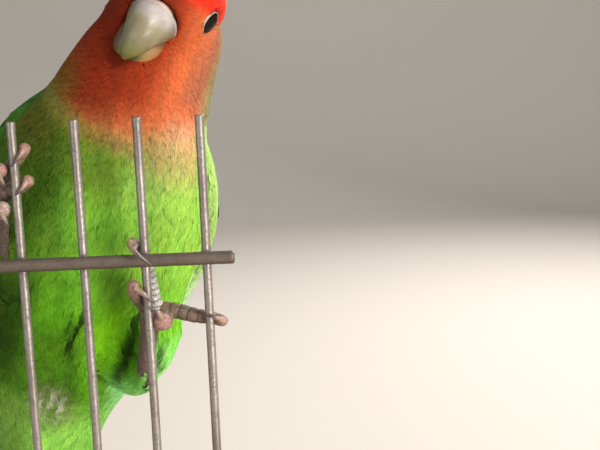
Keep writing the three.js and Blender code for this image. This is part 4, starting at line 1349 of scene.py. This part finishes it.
def make_lower_bill(material):
    points, triangles = loft(lower_bill_rings())
    left, _, up = head_terms(points)
    colour = layered(
        HORN_LOWER,
        (HORN_FLUSH, 0.6 * rise(left, 1.5, 5)),
        # Painted shade under the upper bill, in the hollow under its tip and on the right side
        (HORN_IN_SHADE, 0.7 * rise(up, -11.5, -9.5)),
        (MOUTH_LINE_SHADE, 0.85 * rise(distance(points, on_head(*BILL_TIP_PLACE)), 3.4, 1.2)),
        (HORN_IN_SHADE, 0.9 * rise(-left, 1, 3.6)),
    )
    piece("lower_bill", "bill_horn", ["bill_lower"], points, triangles, material, colour)


def make_cere():
    points, triangles = loft(upper_bill_rings(BILL_UPPER[0][0] + 4, CERE_FROM - 1.2, CERE_RISE, 26))
    colour = blend(CERE_SKIN, HORN_ROOT * 0.8, rise(abs(head_terms(points)[0]), 1.6, 3.8))
    inner = points.mean(0)
    for place in NOSTRIL_PLACES:
        near = distance(points, on_head(*place))
        dent = NOSTRIL_DEPTH * rise(near, NOSTRIL_RADIUS * 1.5, 0)
        points = points + unit(inner - points) * dent[:, None]
        # Painted shade in the nostril pits
        colour = blend(colour, CERE_SKIN * 0.12, rise(near, NOSTRIL_RADIUS * 1.25, 0.2))
    material = horn_material("cere_skin", 0.5)
    piece("cere_flesh", "cere_skin", ["cere"], points, triangles, material, colour)


def make_bill():
    horn = horn_material("bill_horn", 0.42)
    make_upper_bill(horn)
    make_lower_bill(horn)
    make_cere()


# The lids' edges and the bare ring: radius, and height along the way the eye faces
EYE_RING_PROFILE = [
    (2.45, -0.75), (2.48, -0.15), (2.54, 0.02), (2.64, 0.1), (2.76, 0.12),
    (2.9, 0.06), (3.04, -0.08), (3.14, -0.4), (3.1, -0.9), (2.8, -1.1),
]
BEADED_ROWS = range(3, 8)
PUPIL_RADIUS, IRIS_RADIUS = 1.6, 2.25


def make_eyeball(name, facing, across, upwards, centre):
    angles = np.radians(np.concatenate([np.linspace(1, 42, 30), np.linspace(46, 176, 14)]))
    rim = around(circle(48), across, upwards)
    rings = [centre + EYE_RADIUS * (math.cos(a) * facing + math.sin(a) * rim) for a in angles]
    points, triangles = loft(rings)
    radius = length_of(np.cross(points - centre, facing))
    turn = np.arctan2((points - centre) @ upwards, (points - centre) @ across)
    fibres = np.where(radius > PUPIL_RADIUS, 1 + 0.25 * np.sin(23 * turn), 1)[:, None]
    colour = blend(PUPIL, IRIS, rise(radius, PUPIL_RADIUS - 0.05, PUPIL_RADIUS + 0.15)) * fibres
    colour = blend(colour, PUPIL, rise(radius, IRIS_RADIUS, IRIS_RADIUS + 0.35))
    shader = Shader(name + "_cornea", roughness=0.08, specular=0.3)
    grain = shader.ramp(shader.noise(1600.0, 3.0), 0.3, 0.7, 0.06, 0.11)
    shader.set({"IOR": 1.22, "Base Color": shader.tint(), "Roughness": grain})
    piece(name + "_ball", "eye", [name], points, triangles, shader.material, colour)


def make_eye_ring(name, facing, across, upwards, ring):
    turn = circle(72)
    oval = around(turn, across * 1.02, upwards * 0.95)
    rows = []
    for j, (reach, height) in enumerate(EYE_RING_PROFILE):
        bead = 0.05 * np.sin(30 * turn + j) + 0.03 * np.sin(53 * turn - 2 * j)
        bead = (bead * (j in BEADED_ROWS))[:, None]
        rows.append(ring + oval * (reach + 0.4 * bead) + facing * (height + bead))
    points, triangles = loft(rows + rows[:1], caps=False)
    reach = length_of(np.cross(points - ring, facing))
    colour = blend(LID * 0.25, LID, rise(reach, 2.5, 2.85))
    lid = horn_material(name + "_ring_skin", 0.55)
    piece(name + "_ring", "cere_skin", (), points, triangles, lid, colour)


def make_eye(side, name):
    facing, ring, centre = eye_frame(side)
    across = unit(np.cross(facing, [0, 0.1, 1]))
    upwards = np.cross(across, facing)
    make_eyeball(name, facing, across, upwards, centre)
    make_eye_ring(name, facing, across, upwards, ring)


# Legs: the shank, the pad and four toes, then four claws. Each stop is x, y, z and a radius
LIMBS = {
    "left": [
        [(4.6, -12.4, 80.6, 2.1), (6, -15.6, 84.4, 2.3), (6.7, -17.6, 90, 1.95), (8, -19.2, 96.4, 2)],
        [(7.2, -19.3, 96.6, 1.6), (8.4, -19.4, 98.6, 2.5), (9.6, -19.6, 100.8, 1.7)],
        [(9.6, -19.6, 99.8, 1.9), (13.6, -20, 99.5, 1.75), (18, -20.9, 98.5, 1.6),
         (21.6, -21.3, 97.9, 1.4), (24, -22.6, 97.5, 1.25)],
        [(8.6, -19.8, 99, 1.7), (6.9, -20.4, 101.4, 1.6), (5.7, -21.8, 104, 1.6), (5.6, -23.6, 106, 1.45)],
        [(9.2, -19.8, 99, 1.7), (10.9, -20.5, 98.2, 1.8), (11.4, -22, 97.8, 2), (11.2, -23.7, 98, 1.9)],
        [(9.4, -19.9, 100.4, 1.6), (9.2, -20.6, 104.2, 1.4), (8.6, -21, 108.6, 1.4),
         (7.4, -21.3, 112.8, 1.35), (6, -23.2, 115.4, 1.3)],
    ],
    "right": [
        [(-25.4, -11, 108.2, 2), (-25.2, -14, 111.6, 2.3), (-24, -16, 117.4, 1.95), (-23, -18.2, 123.6, 2)],
        [(-23.4, -18.4, 123.8, 1.7), (-22.8, -19.3, 126, 2.5), (-22, -19.7, 128.4, 1.9)],
        [(-22.2, -19.7, 127.8, 1.8), (-20, -20.6, 131, 1.6), (-17.6, -21.3, 134, 1.45),
         (-15.4, -22.7, 136.2, 1.3)],
        [(-22.4, -19.6, 126, 1.8), (-20, -20.9, 126.9, 1.6), (-17.6, -21.3, 128, 1.5),
         (-15.2, -22.8, 129.4, 1.35)],
        [(-22.6, -19.8, 128.6, 1.8), (-23, -21.4, 130.4, 1.7), (-22, -23, 131.6, 1.7),
         (-20.6, -23.8, 132, 1.6)],
        [(-22.8, -19.8, 125.4, 1.8), (-23.1, -21.4, 123.8, 1.8), (-22.2, -23, 123.2, 1.9),
         (-20.8, -23.8, 123.8, 1.8)],
    ],
}
CLAWS = {
    "left": [
        [(24.3, -24.3, 97.9, 0.62), (23.4, -25.5, 98.7, 0.5), (22, -25.8, 99.3, 0.34),
         (20.9, -25.7, 99.5, 0.12)],
        [(6.3, -25.2, 106, 0.66), (7.6, -26, 105.1, 0.55), (9, -26, 103.8, 0.38),
         (10.2, -25.7, 102.5, 0.12)],
        [(11.2, -25.4, 99.6, 0.66), (10.9, -26.1, 100.6, 0.54), (10.2, -26.3, 101.1, 0.36),
         (9.2, -26.1, 101.2, 0.12)],
        [(5.6, -25, 115.9, 0.68), (6, -27.2, 115.4, 0.58), (7.8, -28.5, 113.6, 0.4),
         (10.3, -28.3, 111.4, 0.12)],
    ],
    "right": [
        [(-15.3, -24.2, 136, 0.6), (-15.7, -25, 135.2, 0.5), (-16.7, -25.5, 134, 0.34),
         (-17.8, -25.6, 132.8, 0.12)],
        [(-15.3, -24.2, 129.2, 0.6), (-15.7, -25, 128.5, 0.5), (-16.5, -25.5, 127.6, 0.34),
         (-17.4, -25.6, 126.8, 0.12)],
        [(-20.4, -25.2, 131.2, 0.56), (-19.9, -25.9, 130.3, 0.46), (-19.4, -25.9, 129.3, 0.3),
         (-19.2, -25.5, 128.4, 0.12)],
        [(-20.4, -25.4, 123, 0.56), (-19.9, -26, 122.1, 0.46), (-19.4, -26, 121.1, 0.3),
         (-19.2, -25.6, 120.2, 0.12)],
    ],
}
# Places in the lists of limbs
SHANK, FIRST_TOE, INNER_TOE, OUTER_TOE = 0, 2, 2, 5
SCUTE_PITCH = 1.3
INNER_SCUTE_PITCH = 2.1
SCUTE_DEPTH = 0.14
CENTRE_STEP = 0.15


def centre_line(stops):
    """Places along a limb, and how far along it each lies."""
    fine = smooth_line(stops, 400)[:, :3]
    run = np.concatenate([[0], np.cumsum(length_of(np.diff(fine, axis=0)))])
    at = np.arange(0, run[-1], CENTRE_STEP)
    return np.stack([np.interp(at, run, column) for column in fine.T], 1), at


def leg_material(name):
    shader = Shader("leg_skin_" + name, roughness=0.55, specular=0.4)
    scales = shader.node("TexVoronoi", {"Vector": shader.place(), "Scale": 1100.0}, "Distance",
                         feature="DISTANCE_TO_EDGE")
    cracks = shader.ramp(scales, 0.0, 0.12)
    dust = shader.noise(1800.0, 4.0)
    shader.shaded(shader.ramp(cracks, 0, 1, 0.62, 1.08), shader.ramp(dust, 0.35, 0.65, 0.78, 1.2))
    shader.flesh(0.1, (0.8, 0.35, 0.25))
    shader.bump(cracks, 0.35, 0.00008)
    return shader.material


def make_leg(name):
    tubes = joined([tube(stops) for stops in LIMBS[name]])
    points, triangles, normals = remeshed("leg", *tubes, voxel=0.2, smooth=3)
    lines = [centre_line(stops) for stops in LIMBS[name]]
    tree = point_tree(np.concatenate([places for places, _ in lines]))
    near = np.array([tree.find(Vector(p))[1] for p in points])
    run = np.concatenate([at for _, at in lines])[near]
    kind = np.repeat(np.arange(len(lines)), [len(at) for _, at in lines])[near]
    end = np.array([at.max() for _, at in lines])[kind]
    toe = kind >= FIRST_TOE
    # Scutes ring the toes, and pads swell on the side that grips
    pitch = np.where(kind == INNER_TOE, INNER_SCUTE_PITCH, SCUTE_PITCH)
    groove = np.exp(-(((run / pitch) % 1 - 0.5) ** 2) / 0.012)
    x, y, z = points.T
    pebble = 0.5 + 0.5 * np.sin(5.1 * x + 1) * np.sin(5.7 * z) * np.sin(5.3 * y + 2)
    relief = np.where(toe, 0.06 * pebble - SCUTE_DEPTH * groove, SCUTE_DEPTH * (pebble - 0.5))
    points = points + normals * relief[:, None]
    colour = layered(
        np.where(toe[:, None], TOE_SKIN, SHANK_SKIN),
        (SCUTE_GROOVE, np.where(toe, 0.75 * groove, 0.5 * rise(pebble, 0.4, 0.1))),
        (SCALE_WHITE, 0.7 * (kind == OUTER_TOE) * (1 - groove)),
        # Painted shade where the shank goes into the plumage, in the plumage's colour
        (plumage(points) * 0.5, 0.8 * (kind == SHANK) * rise(run, 4, 1)),
        (TOE_PAD, 0.7 * toe * rise(run / end, 0.5, 0.95) * (1 - 0.6 * groove)),
    )
    nodes = ("shank_" + name, "foot_" + name)
    piece("leg_" + name, "leg_skin", nodes, points, triangles, leg_material(name), colour)


def make_claws(name):
    claws = [tube(stops, sides=16, rows=6, ends=0.8) for stops in CLAWS[name]]
    share = np.concatenate([np.linspace(0, 1, len(points)) for points, _ in claws])
    colour = blend(CLAW_ROOT, CLAW_TIP, rise(share, 0.15, 0.75))
    horn = horn_material("claw_horn_" + name, 0.3)
    nodes = [f"claw_{name}_{i}" for i in range(1, 5)]
    piece("claws_" + name, "claw_horn", nodes, *joined(claws), horn, colour)


# Perch and stand
WIRE_PITCH = 13
WIRE_RADIUS = 0.95
WIRE_FIRST_X = -17.5
WIRE_PLACES = [WIRE_FIRST_X + WIRE_PITCH * i for i in range(4)]
WIRE_Y = -24
WIRE_LOW, WIRE_HIGH = 62, 142
BAR_RADIUS = 1.4
BAR_Z = 112
BAR_Y = WIRE_Y - WIRE_RADIUS - BAR_RADIUS + 0.5
BAR_OVERHANG = 6
WELD_SIZE = (1.45, 0.62, 1.3)
BASE_HEIGHT = 10
ROD_RADIUS = 1.6
# from, to and radius of a rod, its foot and its socket round the wire
ROD_SECTIONS = [
    (BASE_HEIGHT - 0.5, WIRE_LOW + 0.2, ROD_RADIUS),
    (BASE_HEIGHT, BASE_HEIGHT + 2.2, ROD_RADIUS + 1.2),
    (WIRE_LOW - 4, WIRE_LOW + 0.8, ROD_RADIUS + 0.35),
]
# radius and height along the base's moulded edge
BASE_PROFILE = [
    (0, 0), (52, 0), (56.2, 0.2), (57.3, 0.9), (57.9, 1.8), (58, 3), (57.8, 4.1),
    (57.2, 5.0), (56.3, 5.7), (55.6, 6.1), (55.2, 6.6), (55.2, 7.4), (54.8, 8.4),
    (54, 9.2), (53, 9.7), (51.4, 10), (40, 10), (24, 10), (10, 10), (0, 10),
]


def steel_material(name, light, dark, roughness, pitting=0.8):
    shader = Shader(name, roughness=roughness, metallic=0.6)
    pits = shader.noise(1300.0, 5.0, roughness=0.65)
    film = shader.noise(110.0, 3.0)
    colour = shader.mix(shader.ramp(pits, 0.5, 0.72, 0.0, pitting), light, dark)
    shader.set({
        "Base Color": shader.mix(shader.ramp(film, 0.45, 0.7, 0.0, 0.5), colour, dark),
        "Roughness": shader.ramp(pits, 0.35, 0.7, roughness - 0.08, roughness + 0.15),
    })
    shader.bump(pits, 0.2 * pitting, 0.0001)
    return shader.material


def bar_mesh(start, end, radius, rows):
    """A straight bar with rounded ends and the slight unevenness of drawn wire."""
    start, end = np.asarray(start, float), np.asarray(end, float)
    way = unit(end - start)
    across = unit(np.cross(way, [0.31, 0.95, 0.1]))
    turn = circle(28)
    rim = around(turn, across, np.cross(way, across))
    edge = min(radius * 0.3, 0.4)
    reach = length_of(end - start)
    straight = np.linspace(edge, reach - edge, rows)[1:-1]
    at = [0, edge * 0.3, edge, *straight, reach - edge, reach - edge * 0.3, reach]
    sizes = np.full(len(at), radius)
    sizes[[0, -1]] = radius - edge
    sizes[[1, -2]] = radius - edge * 0.3
    rings = []
    for run, size in zip(at, sizes):
        uneven = size + 0.02 * np.sin(turn * 3 + run * 0.9) * math.sin(run * 1.7)
        rings.append(start + way * run + rim * uneven[:, None])
    return loft(rings)


def weld_mesh(x, phase):
    """A low lump where a wire is welded to the bar."""
    turn = circle(24)
    wide, deep, tall = WELD_SIZE
    rings = []
    for a in np.radians(np.linspace(-80, 80, 13)):
        size = math.cos(a) * (1 + 0.06 * np.sin(5 * turn + phase) * math.cos(3 * a))
        ring = [wide * np.cos(turn) * size, deep * np.sin(turn) * size, 0 * turn + tall * math.sin(a)]
        rings.append(np.stack(ring, 1) + (x, WIRE_Y - WIRE_RADIUS + 0.1, BAR_Z))
    return loft(rings)


def make_perch():
    wire = steel_material("wire_steel", STEEL, STEEL_DARK * 0.8, 0.42)
    bar = steel_material("bar_steel", STEEL_DARK * 1.05, STEEL_DARK * 0.5, 0.5)
    rod = steel_material("rod_steel", ROD_STEEL, ROD_STEEL_DARK, 0.34, pitting=0.1)
    for i, x in enumerate(WIRE_PLACES, 1):
        mesh = bar_mesh((x, WIRE_Y, WIRE_LOW), (x, WIRE_Y, WIRE_HIGH), WIRE_RADIUS, 90)
        piece(f"wire_{i}", "wire_steel", [f"perch_wire_{i}"], *mesh, wire)
    start = (WIRE_PLACES[0] - BAR_OVERHANG, BAR_Y, BAR_Z)
    end = (WIRE_PLACES[-1] + BAR_OVERHANG, BAR_Y, BAR_Z)
    piece("bar", "wire_steel", ["perch_bar"], *bar_mesh(start, end, BAR_RADIUS, 80), bar)
    welds = joined([weld_mesh(x, i) for i, x in enumerate(WIRE_PLACES)])
    piece("welds", "wire_steel", (), *welds, bar)
    for side, x in (("right", WIRE_PLACES[0]), ("left", WIRE_PLACES[-1])):
        parts = [bar_mesh((x, WIRE_Y, low), (x, WIRE_Y, high), radius, 24)
                 for low, high, radius in ROD_SECTIONS]
        piece("rod_" + side, "wire_steel", ["stand_rod_" + side], *joined(parts), rod)


def make_base():
    turn = circle(160)
    ring = np.stack([np.cos(turn), np.sin(turn), 0 * turn], 1)
    mesh = loft([ring * max(radius, 0.01) + (0, 0, z) for radius, z in BASE_PROFILE])
    shader = Shader("base_wood", roughness=0.42, specular=0.45)
    grain = shader.noise(26.0, 5.0, stretch=(1.0, 9.0, 1.0), roughness=0.6)
    lines = shader.noise(160.0, 4.0, stretch=(0.35, 9.0, 1.0), roughness=0.6)
    colour = shader.mix(shader.ramp(grain, 0.35, 0.65), WOOD, WOOD_LIGHT)
    shader.set({
        "Base Color": shader.mix(shader.ramp(lines, 0.5, 0.72, 0.0, 0.7), colour, WOOD_LINE),
        "Roughness": shader.ramp(lines, 0.3, 0.7, 0.34, 0.52),
        "Coat Weight": 0.3,
        "Coat Roughness": 0.2,
    })
    shader.bump(lines, 0.2, 0.0001)
    piece("base", "base_wood", ["stand_base"], *mesh, shader.material)


# Stage, lights and camera
STAGE_FRONT, STAGE_BACK, STAGE_CURVE = -1400, 700, 300
STAGE_TOP = 1800
STAGE_SIDE = 2200
SKY_COLOUR = (0.9, 0.95, 1, 1)
SKY_STRENGTH = 0.38
# place, aim, size, power and colour
LIGHTS = {
    "key": ((470, -380, 460), (0, 0, 120), 340, 6.3, (1, 0.98, 0.94)),
    "fill": ((-520, -460, 260), (0, 0, 110), 500, 1.9, (0.96, 0.98, 1)),
    "rim": ((300, 420, 420), (0, 0, 120), 300, 3.6, (1, 0.98, 0.96)),
    "low": ((260, -300, 34), (8, -4, 84), 160, 1.4, (1, 1, 0.92)),
}


def make_camera():
    data = bpy.data.cameras.new("camera")
    data.lens = CAMERA_LENS
    data.sensor_fit = "HORIZONTAL"
    data.sensor_width = SENSOR_WIDTH
    data.clip_start = 0.01
    data.clip_end = 20
    camera = linked("camera", data)
    right, away = unit(CAMERA_RIGHT), unit(CAMERA_AWAY)
    turned = Matrix(np.stack([right, np.cross(right, away), -away], 1).tolist()).to_4x4()
    turned.translation = Vector(CAMERA_PLACE) * MM
    camera.matrix_world = turned
    bpy.context.scene.camera = camera


def make_stage():
    shader = Shader("stage", roughness=0.9, specular=0.2)
    shader.set({"Base Color": FLOOR})
    profile = [(STAGE_FRONT, 0), (STAGE_BACK, 0)]
    for a in np.linspace(0.1, math.pi / 2, 12):
        profile.append((STAGE_BACK + STAGE_CURVE * math.sin(a), STAGE_CURVE * (1 - math.cos(a))))
    profile.append((STAGE_BACK + STAGE_CURVE, STAGE_TOP))
    n = len(profile)
    points = [(x, y, z) for x in (-STAGE_SIDE, STAGE_SIDE) for y, z in profile]
    i = np.arange(n - 1)
    faces = np.concatenate([np.stack([i, i + n, i + n + 1], 1), np.stack([i, i + n + 1, i + 1], 1)])
    mesh_object("floor", points, faces, shader.material)


def make_lights():
    world = bpy.data.worlds.new("world")
    world.use_nodes = True
    colour, strength = world.node_tree.nodes["Background"].inputs[:2]
    colour.default_value = SKY_COLOUR
    strength.default_value = SKY_STRENGTH
    bpy.context.scene.world = world
    for name, (place, aim, size, power, colour) in LIGHTS.items():
        data = bpy.data.lights.new(name, "AREA")
        data.shape = "DISK"
        data.size = size * MM
        data.energy = power
        data.color = colour
        lamp = linked(name, data)
        lamp.location = Vector(place) * MM
        way = Vector(aim) - Vector(place)
        lamp.rotation_euler = way.to_track_quat("-Z", "Y").to_euler()


bpy.context.scene.view_settings.view_transform = "Standard"
make_camera()
make_stage()
make_lights()
make_coat(make_skin())
for wing_side, wing_name in ((1, "wing_left"), (-1, "wing_right")):
    make_wing(wing_side, wing_name)
make_tail()
make_bill()
for eye_side, eye_name in ((1, "eye_left"), (-1, "eye_right")):
    make_eye(eye_side, eye_name)
for leg_name in LIMBS:
    make_leg(leg_name)
    make_claws(leg_name)
make_perch()
make_base()
